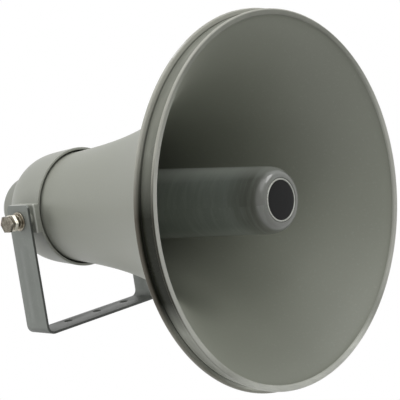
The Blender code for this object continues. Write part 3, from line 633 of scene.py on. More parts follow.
# %% [markdown]
# The bell's flare follows a rule: a straight taper from the neck, and on top of it a rise that grows with a
# power of the distance. At the mouth the sheet turns into a rounded lip and folds back into a skirt, which
# has a groove near its end and a turned-out flange. The outline goes down the inside, round the rim and back
# outside.

# %% Bell
NECK_RADIUS = 0.0692
NECK_TAPER = 0.105
FLARE_POWER = 2.8
BELL_WALL = 0.0015
LIP_BEAD = 0.0018
LIP_WIDTH = 0.0052
SKIRT_RADIUS = 0.1997
SKIRT_WALL = 0.0013
SKIRT_WIDTH = 0.0202
FLANGE_BEAD = 0.0021
GROOVE = 0.0016
# The lip's turn from the flare to its front: depth, and distance inside the mouth's radius.
LIP_TURN = (0.0009, 0.0051), (-0.0003, 0.0049), (-0.0011, 0.0044), (-0.0016, 0.0034), (-0.0018, 0.0018)


def flare_radius(depth):
    """The bell's outer radius."""
    ahead = max(0.0, DRUM_FRONT - depth)
    rise = MOUTH_RADIUS - BELL_WALL - NECK_RADIUS - NECK_TAPER * DRUM_FRONT
    return NECK_RADIUS + NECK_TAPER * ahead + rise * (ahead / DRUM_FRONT) ** FLARE_POWER


def flare_inside(depth):
    """The bell's inner radius: the wall is measured square to the sheet."""
    slope = (flare_radius(depth) - flare_radius(depth + 0.001)) / 0.001
    return flare_radius(depth) - BELL_WALL * math.hypot(1, slope)


def bell_outline():
    neck_end = DRUM_FRONT + 0.0167
    root = 2.6 * BELL_WALL
    steps = 44
    stations = [root + (DRUM_FRONT - root) * (i / steps) ** 1.15 for i in range(steps + 1)]
    inside = [(neck_end, NECK_RADIUS - BELL_WALL)]
    inside += [(depth, flare_inside(depth)) for depth in reversed(stations)]
    inside += [(depth, MOUTH_RADIUS - inwards) for depth, inwards in LIP_TURN]
    lip = arc(0, MOUTH_RADIUS, LIP_BEAD, -180, -325, 11)
    groove_back = SKIRT_WIDTH - FLANGE_BEAD
    groove_front = groove_back - GROOVE
    floor = SKIRT_RADIUS - GROOVE / 2
    straight = (LIP_BEAD * 1.4, LIP_BEAD * 1.4 + 0.0005, groove_front - 0.0010, groove_front - 0.0006)
    skirt = [(depth, SKIRT_RADIUS) for depth in straight]
    dip = [(groove_front - 0.0004, SKIRT_RADIUS), (groove_front, floor), (groove_back - 0.0003, floor)]
    skirt += bezier(dip, 5)
    turn_up = (groove_back, floor + 0.0003)
    flange = [turn_up, *arc(SKIRT_WIDTH, SKIRT_RADIUS + 0.0034, FLANGE_BEAD, 180, -55, 14)]
    under = SKIRT_RADIUS - SKIRT_WALL
    lining = [(groove_back + SKIRT_WALL, under), (groove_back + SKIRT_WALL / 2, under - GROOVE / 2)]
    lining += [(groove_front, under - GROOVE / 2), (groove_front - 0.0004, under), (root, under)]
    outside = [(depth, flare_radius(depth)) for depth in stations] + [(neck_end, NECK_RADIUS)]
    return inside + lip + skirt + flange + lining + outside


bell = turned_piece("horn_bell", bell_outline(), bell_paint, sides=200)
bell.data.materials.append(rim_paint)
bell.data.materials.append(shaded_inside_paint)
for face in bell.data.polygons:
    behind = face.center.y + PIVOT_DEPTH
    out = math.hypot(face.center.x, face.center.z - AXIS_HEIGHT)
    innermost = MOUTH_RADIUS - LIP_WIDTH if behind < 2 * LIP_BEAD else SKIRT_RADIUS - 0.0030
    if behind < SKIRT_WIDTH + 0.004 and out > innermost:
        face.material_index = 1
    elif out < (flare_inside(behind) + flare_radius(behind)) / 2:
        face.material_index = 2
belongs(bell, "horn", "grey_green_paint", "bell")

# %% [markdown]
# Cutting and joining solid shapes is a job for the Boolean modifier with its exact solver. These helpers
# make simple tools, and apply one or several of them to a piece.

# %% Boolean helper and simple tools
def combine(piece, tools, operation):
    """Joins tools to a piece, or cuts them out of it, for good."""
    for tool in tools:
        step = piece.modifiers.new(operation.lower(), "BOOLEAN")
        step.operation = operation
        step.solver = "EXACT"
        step.object = tool
    made = bake(piece, piece.name)
    for tool in tools:
        bpy.data.objects.remove(tool)
    return made


def eased(piece, name, width, segments, **limits):
    """The piece with its edges bevelled, under a name."""
    ease = piece.modifiers.new("ease", "BEVEL")
    ease.width = width
    ease.segments = segments
    for label, value in limits.items():
        setattr(ease, label, value)
    return bake(piece, name)


def from_bmesh(name, work):
    mesh = bpy.data.meshes.new(name)
    work.to_mesh(mesh)
    work.free()
    return new_object(name, mesh)


def rod(start, end, radius, sides=48, end_radius=None):
    """A closed cylinder or cone between two points."""
    start, end = Vector(start), Vector(end)
    along = end - start
    work = bmesh.new()
    bmesh.ops.create_cone(
        work,
        cap_ends=True,
        segments=sides,
        radius1=radius,
        radius2=radius if end_radius is None else end_radius,
        depth=along.length,
        matrix=Matrix.Translation((start + end) / 2) @ along.to_track_quat("Z", "Y").to_matrix().to_4x4(),
    )
    return from_bmesh("rod", work)


def rounded_box(low, high, rounding, steps=3):
    """A box with rounded edges."""
    low, high = Vector(low), Vector(high)
    work = bmesh.new()
    size = Matrix.Translation((low + high) / 2) @ Matrix.Diagonal((*(high - low), 1))
    bmesh.ops.create_cube(work, size=1, matrix=size)
    bmesh.ops.bevel(work, geom=work.edges[:], offset=rounding, segments=steps, profile=0.5, affect="EDGES")
    return from_bmesh("box", work)


def at(x, depth, above):
    """World place of a point given by its depth behind the mouth and its height above the axis."""
    return Vector((x, depth - PIVOT_DEPTH, above + AXIS_HEIGHT))


# %% [markdown]
# The drum is one casting: the front of a long dome, with a rim that holds the bell's neck, and on each side
# a block and a round boss for the bracket. The dome is turned, the blocks and bosses are joined to it, and
# then the hollow chamber and the bolt holes are cut out, as they would be cored in the casting. The rear
# cover goes on with the same curve, so one function gives the stretch of it between two depths.

# %% Drum
DRUM_RADIUS = 0.0748
DRUM_EDGE = 0.0009
CHAMBER_BACK = DRUM_BACK - 0.005
SEAT_RADIUS = DRUM_RADIUS - 0.0032
SEAT_DEPTH = DRUM_FRONT + 0.017
LUG_INNER = 0.0665
LUG_HALF_HEIGHT = 0.018
LUG_BACK = DRUM_FRONT + 0.04
LUG_EDGE = 0.0018
BOSS_RADIUS = 0.0086
BOSS_FACE_RADIUS = 0.0080
BOSS_EDGE = 0.0008
BOLT_HOLE_FLOOR = 0.0741
THROAT_RADIUS = 0.0116


def dome_stretch(start, end):
    """The dome's outline between two depths."""
    controls = [
        (DRUM_FRONT + 0.0060, DRUM_RADIUS - 0.0004),
        (DRUM_FRONT + 0.0505, 0.0695),
        (DRUM_FRONT + 0.0636, 0.0732),
        (DOME_END - 0.0004, CAP_RADIUS),
    ]
    points = bezier(controls, 60)
    found = []
    for (depth, radius), (further, narrower) in zip(points, points[1:]):
        for wanted in (start, end):
            if depth < wanted <= further:
                share = (wanted - depth) / (further - depth)
                found.append((wanted, radius + share * (narrower - radius)))
    return sorted(found + [point for point in points if start < point[0] < end])


def cross_rod(start, end, radius, sides):
    """A rod along the pivot's axis."""
    return rod(at(start, PIVOT_DEPTH, 0), at(end, PIVOT_DEPTH, 0), radius, sides)


def drum_lugs():
    """The blocks and bosses on both sides, and the holes for the bolts."""
    lugs, holes = [], []
    for side in (-1, 1):
        near, far = sorted((side * LUG_INNER, side * LUG_FACE))
        corners = at(near, LUG_FRONT, -LUG_HALF_HEIGHT), at(far, LUG_BACK, LUG_HALF_HEIGHT)
        lugs.append(rounded_box(*corners, rounding=LUG_EDGE, steps=4))
        boss = ARM_FACE - GAP
        lugs.append(cross_rod(side * LUG_INNER, side * (boss - BOSS_EDGE), BOSS_RADIUS, 64))
        lugs.append(cross_rod(side * 0.085, side * boss, BOSS_FACE_RADIUS, 64))
        holes.append(cross_rod(side * BOLT_HOLE_FLOOR, side * 0.11, BOLT_HOLE, 48))
    return lugs, holes


def build_drum():
    """The turned dome with its lugs, its chamber and its holes."""
    rim = arc(DRUM_FRONT + DRUM_EDGE, DRUM_RADIUS - DRUM_EDGE, DRUM_EDGE, 180, 90, 6)
    outline = [(DRUM_FRONT, 0), *rim, *dome_stretch(0, DRUM_BACK), (DRUM_BACK, 0)]
    lugs, holes = drum_lugs()
    drum = combine(turned_piece("horn_drum", outline, drum_paint, sides=128), lugs, "UNION")
    bowl = bezier([(SEAT_DEPTH, 0.0645), (CHAMBER_BACK - 0.004, 0.0620), (CHAMBER_BACK, 0.0445)], 16)
    ahead, wide = DRUM_FRONT - 0.01, SEAT_RADIUS + 0.0006
    mouth = [(ahead, 0), (ahead, wide), (DRUM_FRONT, wide), (DRUM_FRONT + 0.0006, SEAT_RADIUS)]
    hollow = [*mouth, (SEAT_DEPTH, SEAT_RADIUS), *bowl, (CHAMBER_BACK, 0)]
    chamber = turned_piece("chamber", hollow, drum_paint, sides=128)
    throat = rod(at(0, CHAMBER_BACK - 0.01, 0), at(0, DRUM_BACK + 0.01, 0), THROAT_RADIUS)
    return tidy_faces(combine(drum, [chamber, throat, *holes], "DIFFERENCE"), 28)


drum = build_drum()
belongs(drum, "horn", "grey_green_paint", "drum")

# %% [markdown]
# The reflector is the tube in the mouth. Its closed nose is rounded, with a shallow recess for the badge,
# and it widens a little towards its open rear end.

# %% Reflector
REFLECTOR_RADIUS = 0.0368
REFLECTOR_FRONT = 0.0100
REFLECTOR_BACK = 0.3480
REFLECTOR_WALL = 0.0015
REFLECTOR_TAPER = 0.027
NOSE = 0.0215
HUB_RADIUS = 0.008
HUB_LENGTH = 0.0045
HUB_HOLE = 0.0023
HUB_SCREW_HEAD = 0.0035
BADGE_RADIUS = 0.0233
BADGE_FLOOR = REFLECTOR_FRONT + 0.0016


def reflector_outline():
    front, wall = REFLECTOR_FRONT, REFLECTOR_WALL
    nose_end = front + NOSE
    back_radius = REFLECTOR_RADIUS + REFLECTOR_TAPER * (REFLECTOR_BACK - nose_end)
    recess = BADGE_RADIUS + 2 * GAP
    rounded = [
        (front, recess + 0.0012),
        (front + 0.0008, REFLECTOR_RADIUS - 0.004),
        (front + 0.33 * NOSE, REFLECTOR_RADIUS - 0.0002),
        (nose_end, REFLECTOR_RADIUS),
    ]
    inner = [
        (nose_end, REFLECTOR_RADIUS - wall),
        (front + 0.38 * NOSE, REFLECTOR_RADIUS - wall),
        (BADGE_FLOOR + wall, REFLECTOR_RADIUS - 0.006),
        (BADGE_FLOOR + wall, recess),
    ]
    hub_back = BADGE_FLOOR + wall + HUB_LENGTH
    seat = BADGE_FLOOR + 0.003
    lip = [(BADGE_FLOOR, recess), (front + 0.0005, recess), (front + 0.0001, recess + 0.0004)]
    outside = lip + bezier(rounded, 18) + [(REFLECTOR_BACK - 0.0004, back_radius)]
    inside = [(REFLECTOR_BACK, back_radius - 0.0004), (REFLECTOR_BACK, back_radius - wall)]
    inside += bezier(inner, 10)
    middle = [(BADGE_FLOOR + wall, HUB_RADIUS), (hub_back, HUB_RADIUS), (hub_back, HUB_HOLE)]
    middle += [(seat, HUB_HOLE), (seat, HUB_SCREW_HEAD), (BADGE_FLOOR, HUB_SCREW_HEAD)]
    return outside + inside + middle


reflector = turned_piece("horn_reflector", reflector_outline(), tube_paint, sides=128)
belongs(reflector, "horn", "grey_green_paint", "reflector")

# %% [markdown]
# The badge is a plain glossy black disc, slightly domed, in a thin pale ring. It carries no mark of any
# kind.

# %% Badge
BADGE_THICKNESS = 0.0012
BORDER_WIDTH = 0.0016
badge_back = BADGE_FLOOR - GAP
badge_front = badge_back - BADGE_THICKNESS
disc = BADGE_RADIUS - BORDER_WIDTH - GAP
dome = [(badge_front + 0.0003 * (i / 8) ** 2.4, disc * i / 8) for i in range(8)]
edge = [(badge_front + 0.0004, disc), (badge_back, disc), (badge_back, 0)]
badge = turned_piece("badge_disc", dome + edge, FINISHES["black_gloss"], 96)
ring = [(badge_back, disc + GAP), (badge_front + 0.0002, disc + GAP), (badge_front - 0.0001, disc + 0.0006)]
ring += [(badge_front - 0.0001, BADGE_RADIUS - 0.0004), (badge_front + 0.0003, BADGE_RADIUS)]
border = turned_piece("badge_ring", ring + [(badge_back, BADGE_RADIUS)], FINISHES["silver_border"], 96, 20)
belongs(badge, "horn", "black_gloss", "badge")
belongs(border, "horn", "silver_border", "badge_border")

# %% [markdown]
# The rear cover goes on with the drum's dome and ends in a cap over the driver: straight at first, then
# domed. Three screws hold it on the drum, each in a round pocket in the dome, and a boss underneath carries
# the cable gland.

# %% Rear cover
COVER_FRONT = DRUM_BACK + GAP
CAP_SHOULDER = 0.4433
COVER_END = 0.4700
SCREW_CIRCLE = 0.0475
SCREW_SEAT = COVER_FRONT + 0.0024
GLAND_DEPTH = COVER_FRONT + 0.0165
GLAND_SEAT = 0.0515
GLAND_BOSS_RADIUS = 0.0098
GLAND_BORE = 0.0063
COVER_WALL = 0.0014
COVER_BORE = 0.0403
SCREW_POCKET = 0.0038
SCREW_HOLE = 0.0023


def cap_side(wall, steps):
    """The cap's outline from its shoulder to the axis, or that of its hollow."""
    end = COVER_END - wall
    controls = [
        (CAP_SHOULDER, CAP_RADIUS - wall),
        (CAP_SHOULDER + 0.46 * (end - CAP_SHOULDER), 0.84 * CAP_RADIUS - wall),
        (end, 0.6 * CAP_RADIUS),
        (end, 0),
    ]
    return bezier(controls, steps)


def build_cover():
    """The turned cover with its boss, its screw pockets and their holes."""
    outside = dome_stretch(COVER_FRONT, DOME_END - 0.0005) + cap_side(0, 26)
    hollow = list(reversed(cap_side(COVER_WALL, 20)))
    hollow += [(DOME_END + 0.0015, CAP_RADIUS - COVER_WALL), (DOME_END - 0.0015, COVER_BORE)]
    hollow.append((COVER_FRONT, COVER_BORE))
    cover = turned_piece("horn_cover", outside + hollow, cover_paint, sides=128)
    seat = at(0, GLAND_DEPTH, -GLAND_SEAT)
    boss = rod(at(0, GLAND_DEPTH, -COVER_BORE - 0.0001), seat, GLAND_BOSS_RADIUS, 48)
    cuts = [rod(at(0, GLAND_DEPTH, 0.0018 - COVER_BORE), seat - Vector((0, 0, 0.01)), GLAND_BORE, 32)]
    for angle in THREE_WAYS:
        x, above = SCREW_CIRCLE * math.cos(angle), SCREW_CIRCLE * math.sin(angle)
        cuts.append(rod(at(x, SCREW_SEAT, above), at(x, COVER_END, above), SCREW_POCKET, 32))
        cuts.append(rod(at(x, COVER_FRONT - 0.002, above), at(x, SCREW_SEAT + 0.001, above), SCREW_HOLE, 24))
    return tidy_faces(combine(combine(cover, [boss], "UNION"), cuts, "DIFFERENCE"), 28)


cover = build_cover()
belongs(cover, "horn", "grey_green_paint", "rear_cover")

# %% [markdown]
# The bracket starts as a flat strip with rounded ends and round holes. A rib is pressed along each arm, and
# then the strip is bent twice. The mesh is made in the same order: the blank is cut flat and its edges are
# eased, it is divided where it will bend or be pressed, and then each corner moves to its bent place.

# %% Bracket: the flat blank
BRACKET_WIDTH = 0.1894
STRIP_THICKNESS = 0.003
BEND_OUTSIDE = 0.011
BAR_FLAT = BRACKET_WIDTH / 2 - BEND_OUTSIDE
BEND_LENGTH = (BEND_OUTSIDE - STRIP_THICKNESS / 2) * math.pi / 2
BAR_HOLE_RADIUS = 0.0056
BAR_HOLE_PITCH = 0.0483
BAR_HOLE_MIDDLE = 0.008, 0.0065


def along_blank(height):
    """Distance along the blank, from its middle, of a place that will be at this height on an arm."""
    return BAR_FLAT + BEND_LENGTH + height - BEND_OUTSIDE


def flat_blank():
    """The strip before it is bent: along X, across Y, with its outer face at Z = 0."""
    work = bmesh.new()
    corner = 0.006
    reach, side = along_blank(ARM_TOP) - corner, STRIP_WIDTH / 2 - corner
    outline = []
    for quarter, (x, y) in enumerate(((reach, side), (-reach, side), (-reach, -side), (reach, -side))):
        for step in range(9):
            turn = math.radians(90 * quarter + 90 * step / 8)
            outline.append(work.verts.new((x + corner * math.cos(turn), y + corner * math.sin(turn), 0)))
    raised = bmesh.ops.extrude_face_region(work, geom=[work.faces.new(outline)])
    top = [v for v in raised["geom"] if isinstance(v, bmesh.types.BMVert)]
    bmesh.ops.translate(work, verts=top, vec=(0, 0, STRIP_THICKNESS))
    bmesh.ops.recalc_face_normals(work, faces=work.faces)
    blank = from_bmesh("blank", work)
    pivot = along_blank(AXIS_HEIGHT)
    middle, across = BAR_HOLE_MIDDLE
    places = [(side * pivot, 0, BOLT_HOLE) for side in (-1, 1)]
    places += [(middle + step * BAR_HOLE_PITCH, across, BAR_HOLE_RADIUS) for step in (-1, 0, 1)]
    holes = [rod((x, y, -0.01), (x, y, 0.01), radius) for x, y, radius in places]
    blank = combine(blank, holes, "DIFFERENCE")
    return eased(blank, "horn_bracket", 0.0005, 3, limit_method="ANGLE", angle_limit=math.radians(50))


blank = flat_blank()
print("blank", [round(v, 4) for v in blank.dimensions], len(blank.data.polygons), "faces")

# %% Bracket: pressing and bending
RIB_HALF_WIDTH = 0.0105
RIB_HEIGHT = 0.0012
RIB_TOP = 0.1025


def bent(x, y, z):
    """Where a point of the blank ends up."""
    side, along = math.copysign(1, x), abs(x)
    rise = BEND_OUTSIDE + along - BAR_FLAT - BEND_LENGTH
    if rise > BEND_OUTSIDE:
        across = abs(y) / RIB_HALF_WIDTH
        end = max(0.0, (rise - RIB_TOP) / RIB_HALF_WIDTH)
        reach = min(1.0, math.hypot(across, end))
        fade = min(1.0, (rise - BEND_OUTSIDE) / 0.012)
        press = RIB_HEIGHT * (0.5 + 0.5 * math.cos(math.pi * reach)) * fade
        return side * (BRACKET_WIDTH / 2 - z + press), y, rise
    if along > BAR_FLAT:
        turn = (along - BAR_FLAT) / BEND_LENGTH * math.pi / 2
        reach = BEND_OUTSIDE - z
        return side * (BAR_FLAT + reach * math.sin(turn)), y, BEND_OUTSIDE - reach * math.cos(turn)
    return x, y, z


def divide(work, faces, spot, normal):
    """Cuts some faces of a mesh along a plane without parting them."""
    parts = set(faces)
    for face in faces:
        parts.update(face.edges, face.verts)
    bmesh.ops.bisect_plane(work, geom=list(parts), plane_co=spot, plane_no=normal)


def press_and_bend(blank):
    """Divides the blank where it bends or is pressed, and moves its corners to their bent places."""
    coat(blank, strip_paint)
    work = bmesh.new()
    work.from_mesh(blank.data)
    places = [BAR_FLAT + BEND_LENGTH * i / 10 for i in range(11)]
    places += [along_blank(BEND_OUTSIDE + 0.002 * i) for i in range(1, 7)]
    places += [along_blank(RIB_TOP + 0.0011 * i) for i in range(11)]
    for place in places:
        for side in (-1, 1):
            divide(work, work.faces[:], (side * place, 0, 0), (1, 0, 0))
    for step in range(-10, 11):
        arms = [
            face
            for face in work.faces
            if BAR_FLAT + BEND_LENGTH < abs(face.calc_center_median().x) < along_blank(RIB_TOP + 0.011)
        ]
        divide(work, arms, (0, step * RIB_HALF_WIDTH / 10, 0), (0, 1, 0))
    bmesh.ops.triangulate(work, faces=[face for face in work.faces if len(face.verts) > 4])
    for vert in work.verts:
        vert.co = bent(*vert.co)
    work.to_mesh(blank.data)
    work.free()
    return tidy_faces(blank, 40)


bracket = press_and_bend(blank)
belongs(bracket, "bracket", "grey_bracket_paint", "bracket")
print("bracket", [round(v, 4) for v in bracket.dimensions])

# %% [markdown]
# Each pivot has a bolt with a thick hexagonal head, a nut, a split washer and a flat washer. A real hexagon
# is cut from a bar and its corners are turned off at 30 degrees, so each one here is a six-sided prism of
# which only what lies inside a turned cone is kept. A Geometry Nodes tree does that for heads and nuts
# alike.

# %% Hexagon tree
HEX_ACROSS = 0.019


def hexagon_tree():
    """A six-sided prism, cut by a cone with a slope of 30 degrees."""
    tree, entry, leave = start_shape_tree("Hexagon", Across="Float", Length="Float", Finish="Material")
    corner = maths(tree, "DIVIDE", entry["Across"], math.sqrt(3))
    sizes = {"Vertices": 6, "Radius": corner, "Depth": entry["Length"]}
    prism = add_node(tree, "GeometryNodeMeshCylinder", sizes)
    narrow = times(tree, entry["Across"], 0.475)
    wide = maths(tree, "MULTIPLY_ADD", entry["Length"], math.sqrt(3), narrow)
    sizes = {"Vertices": 72, "Radius Top": narrow, "Radius Bottom": wide, "Depth": entry["Length"]}
    cone = add_node(tree, "GeometryNodeMeshCone", sizes)
    kept = add_node(tree, "GeometryNodeMeshBoolean", operation="INTERSECT", solver="EXACT")
    for shape in (prism, cone):
        tree.links.new(shape.outputs["Mesh"], kept.inputs["Mesh 2"])
    end_shape_tree(tree, entry, leave, kept.outputs["Mesh"])
    return tree


HEXAGON = hexagon_tree()


def hexagon(name, length):
    """A hexagon along X from 0 outwards, with its turned-off end outside and two of its flats upright."""
    made = grow(name, HEXAGON, Across=HEX_ACROSS, Length=length, Finish=steel)
    turn(made, 30, "Z")
    turn(made, 90, "Y")
    shift(made, (length / 2, 0, 0))
    return made


print("hexagon tree has", len(HEXAGON.nodes), "nodes")

# %% [markdown]
# The stack of each pivot is built on the right-hand side, from the arm outwards, and moved or mirrored to
# its side. The bolt's shank goes back through the arm into the drum's boss.

# %% Pivot bolts, nuts and washers
SPRING_LENGTH = 0.0025
SPRING_RADIUS = 0.009
FLAT_LENGTH = 0.0018
FLAT_RADIUS = 0.0115
NUT_LENGTH = 0.008
HEAD_LENGTH = 0.0068
SHANK_RADIUS = 0.005
SHANK_IN_BOSS = 0.017
flat_start = BRACKET_WIDTH / 2 + GAP
spring_start = flat_start + FLAT_LENGTH + GAP
nut_start = spring_start + SPRING_LENGTH + GAP
head_start = nut_start + NUT_LENGTH + GAP
bolt_tip = ARM_FACE - SHANK_IN_BOSS - GAP


def washer(name, length, radius):
    """A flat ring with eased edges."""
    ring = eased(rod((0, 0, 0), (length, 0, 0), radius, 64), name, 0.0003, 2)
    return combine(ring, [rod((-0.002, 0, 0), (length + 0.002, 0, 0), BOLT_HOLE)], "DIFFERENCE")


def split_washer(name):
    """A washer with a slanting slit, as a spring washer has."""
    slit = rounded_box((-0.0006, 0, -0.006), (0.0006, 0.02, 0.006), 0.0001, 1)
    turn(slit, 35, "Y")
    shift(slit, (SPRING_LENGTH / 2, 0, 0))
    return combine(washer(name, SPRING_LENGTH, SPRING_RADIUS), [slit], "DIFFERENCE")


def bored_nut(name):
    return combine(hexagon(name, NUT_LENGTH), [rod((-0.01, 0, 0), (0.02, 0, 0), BOLT_HOLE)], "DIFFERENCE")


def bolt(name):
    """The head and the shank with its eased tip."""
    tip = bolt_tip - head_start
    shank = [rod((0.002, 0, 0), (tip + 0.001, 0, 0), SHANK_RADIUS)]
    shank.append(rod((tip + 0.002, 0, 0), (tip, 0, 0), SHANK_RADIUS, end_radius=SHANK_RADIUS - 0.001))
    return combine(hexagon(name, HEAD_LENGTH), shank, "UNION")


def build_pivot(side, word):
    """The stack of one pivot, on the right (1) or the left (-1)."""
    stack = (
        ("flat_washer", washer(f"pivot_flat_washer_{word}", FLAT_LENGTH, FLAT_RADIUS), flat_start),
        ("spring_washer", split_washer(f"pivot_spring_washer_{word}"), spring_start),
        ("lock_nut", bored_nut(f"pivot_nut_{word}"), nut_start),
        ("pivot_bolt", bolt(f"pivot_bolt_piece_{word}"), head_start),
    )
    for node, piece, start in stack:
        shift(piece, (start, 0, AXIS_HEIGHT))
        piece.data.transform(Matrix.Diagonal((side, 1, 1, 1)))
        coat(piece, {"lock_nut": bright_steel, "pivot_bolt": steel}.get(node, dull_steel))
        belongs(tidy_faces(piece, 20), "horn", "zinc_plated_steel", f"{node}_{word}")


build_pivot(-1, "left")
build_pivot(1, "right")

# %% [markdown]
# The cable gland under the cover is moulded from black plastic: a hexagonal foot and a domed cap over its
# seal.

# %% Cable gland
GLAND_FOOT_LENGTH = 0.008
GLAND_NECK_RADIUS = 0.006
GLAND_HOLE = 0.0034
# The two cones of the cap: start and end below the seat, and both radii.
GLAND_CAP = (0.007, 0.0098, 0.0077, 0.0074), (0.0097, 0.012, 0.0074, 0.0058)


def below_cover(distance):
    """A place on the gland's axis, by its distance below the horn's axis."""
    return at(0, GLAND_DEPTH, -distance)


def build_gland():
    seat = GLAND_SEAT + GAP
    foot = hexagon("cable_gland_piece", GLAND_FOOT_LENGTH)
    turn(foot, 90, "Y")
    shift(foot, below_cover(seat))
    cap = [rod(below_cover(0.042), below_cover(seat + 0.001), GLAND_NECK_RADIUS)]
    for start, end, wide, narrow in GLAND_CAP:
        cap.append(rod(below_cover(seat + start), below_cover(seat + end), wide, end_radius=narrow))
    foot = combine(foot, cap, "UNION")
    foot = combine(foot, [rod(below_cover(0.03), below_cover(0.09), GLAND_HOLE)], "DIFFERENCE")
    coat(foot, FINISHES["black_plastic"])
    return tidy_faces(foot, 28)


gland = build_gland()
belongs(gland, "horn", "black_plastic", "cable_gland")

# %% [markdown]
# The three screws of the rear cover repeat round a circle. A Geometry Nodes tree places one screw on each
# point of a circle with three points. The screw has a domed head with a cross cut into it.

# %% Cover screws
def ring_tree():
    """Puts a screw on each corner of a triangle."""
    tree, entry, leave = start_shape_tree("Ring of screws", Screw="Object", Circle="Float", Finish="Material")
    circle = add_node(tree, "GeometryNodeMeshCircle", {"Vertices": 3, "Radius": entry["Circle"]})
    screw_shape = add_node(tree, "GeometryNodeObjectInfo", {"Object": entry["Screw"]}).outputs["Geometry"]
    placed = add_node(
        tree, "GeometryNodeInstanceOnPoints", {"Points": circle.outputs["Mesh"], "Instance": screw_shape}
    )
    end_shape_tree(tree, entry, leave, placed.outputs["Instances"])
    return tree


RING = ring_tree()


SCREW_HEAD_RADIUS = 0.0032
SCREW_RADIUS = 0.002


def one_screw():
    """A pan-head screw with its seat at Z = 0 and its head upwards."""
    head = rod((0, 0, 0), (0, 0, 0.0014), SCREW_HEAD_RADIUS, 32)
    cap = rod((0, 0, 0.0013), (0, 0, 0.0024), SCREW_HEAD_RADIUS, 32, end_radius=SCREW_HEAD_RADIUS - 0.001)
    shank = rod((0, 0, 0.001), (0, 0, -0.0054), SCREW_RADIUS, 24)
    arms = (0.0018, 0.0003), (0.0003, 0.0018)
    cross = [rounded_box((-x, -y, 0.0013), (x, y, 0.004), 0.0001, 1) for x, y in arms]
    return combine(combine(head, [cap, shank], "UNION"), cross, "DIFFERENCE")


def cover_screws():
    screw = one_screw()
    made = grow("cover_screws", RING, Screw=screw, Circle=SCREW_CIRCLE, Finish=steel)
    bpy.data.objects.remove(screw)
    turn(made, 90, "Z")
    turn(made, -90, "X")
    shift(made, at(0, SCREW_SEAT + GAP, 0))
    return tidy_faces(made, 30)


screws = cover_screws()
belongs(screws, "horn", "zinc_plated_steel", "cover_screw_1", "cover_screw_2", "cover_screw_3")

# %% [markdown]
# What is inside the horn keeps its solid shape and only gets its finish: the driver, the tone arm and what
# seals and joins them. The record of the frame says which finish each of them has.

# %% Finishes of the inner pieces
INNER = {
    "black_rubber": ("neck_gasket", "throat_gasket"),
    "cast_aluminium": ("tone_arm", "reflector_spider", "throat_plate"),
    "zinc_plated_steel": (
        "reflector_screw", "top_plate", "back_plate",
        *(f"tone_arm_screw_{i}" for i in (1, 2, 3)), *(f"driver_screw_{i}" for i in (1, 2, 3)),
    ),
    "ferrite": ("magnet",),
    "copper_wire": ("voice_coil",),
    "phenolic_sheet": ("diaphragm",),
    "black_plastic": ("terminal_block",),
}
for finish, nodes in INNER.items():
    for node in nodes:
        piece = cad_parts[node]
        for index in range(len(piece.material_slots)):
            piece.material_slots[index].material = FINISHES[finish]
print("finished", sum(len(nodes) for nodes in INNER.values()), "inner pieces")

# %% [markdown]
# The light is soft. Two large lamps high in front light the mouth, one overhead lights the upper sides, and
# two on the left light the outside of the bell and the bracket. The two on the left leave no highlights. The
# floor is far below, because the horn hangs on its bracket. What the camera sees behind the horn is white.

# %% Floor, background and lamps
def white_when_seen(tree):
    """One for rays from the camera, from gloss and through glass, else zero."""
    path = add_node(tree, "ShaderNodeLightPath").outputs
    first = maths(tree, "MAXIMUM", path["Is Camera Ray"], path["Is Glossy Ray"])
    return maths(tree, "MAXIMUM", first, path["Is Transmission Ray"])


def mixed(tree, share, first, second, target):
    """Feeds two shaders to an output, mixed by a share."""
    both = add_node(tree, "ShaderNodeMixShader", {0: share})
    tree.links.new(first.outputs[0], both.inputs[1])
    tree.links.new(second.outputs[0], both.inputs[2])
    tree.links.new(both.outputs[0], target.inputs["Surface"])


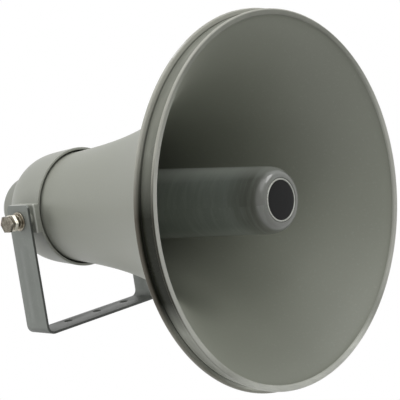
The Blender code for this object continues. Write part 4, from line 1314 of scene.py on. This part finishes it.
def build_world(strength):
    """Weak light from all sides, which looks white where it is seen."""
    world = bpy.data.worlds.new("studio")
    world.use_nodes = True
    tree = world.node_tree
    tree.nodes.clear()
    soft = add_node(tree, "ShaderNodeBackground", {"Color": (1, 1, 1), "Strength": strength})
    white = add_node(tree, "ShaderNodeBackground", {"Color": (1, 1, 1), "Strength": 1.0})
    mixed(tree, white_when_seen(tree), soft, white, add_node(tree, "ShaderNodeOutputWorld"))
    bpy.context.scene.world = world


def build_floor(height):
    """A pale floor that fades into the white away from the horn."""
    made, tree, shader = new_material("floor")
    spot = object_spot(tree)
    away = add_node(tree, "ShaderNodeVectorMath", {0: spot}, operation="LENGTH").outputs["Value"]
    shader.inputs["Base Color"].default_value = (0.8, 0.8, 0.8, 1)
    shader.inputs["Roughness"].default_value = 0.9
    glow = add_node(tree, "ShaderNodeEmission", {"Color": (1, 1, 1), "Strength": 1.0})
    share = times(tree, white_when_seen(tree), ramp(tree, away, 0.5, 1.0, 0.75, 1.0))
    mixed(tree, share, shader, glow, tree.nodes["Material Output"])
    work = bmesh.new()
    bmesh.ops.create_grid(work, x_segments=1, y_segments=1, size=6)
    floor = from_bmesh("floor", work)
    floor.location.z = height
    floor.data.materials.append(made)


def lamp(name, spot, target, size, watts, in_gloss=True):
    """A round lamp that points at its target. The camera doesn't see it."""
    data = bpy.data.lights.new(name, "AREA")
    data.shape = "DISK"
    data.size = size
    data.energy = watts
    made = new_object(name, data)
    made.location = spot
    made.rotation_euler = (Vector(target) - Vector(spot)).to_track_quat("-Z", "Y").to_euler()
    made.visible_glossy = in_gloss
    made.visible_camera = False


build_world(0.11)
build_floor(-0.45)
lamp("left_back", (-1.9, 1.2, 1.0), (0, -0.1, 0.14), 1.4, 17, in_gloss=False)
lamp("high_front", (-0.7, -2.2, 2.3), (0, -0.3, 0.14), 2.2, 17)
lamp("high_right", (1.0, -2.3, 1.9), (0, -0.3, 0.1), 1.4, 24)
lamp("overhead", (-0.3, -0.1, 2.3), (0, -0.1, 0.14), 1.0, 21)
lamp("low_left", (-1.8, -0.4, -0.35), (0, -0.1, 0.1), 1.3, 8, in_gloss=False)
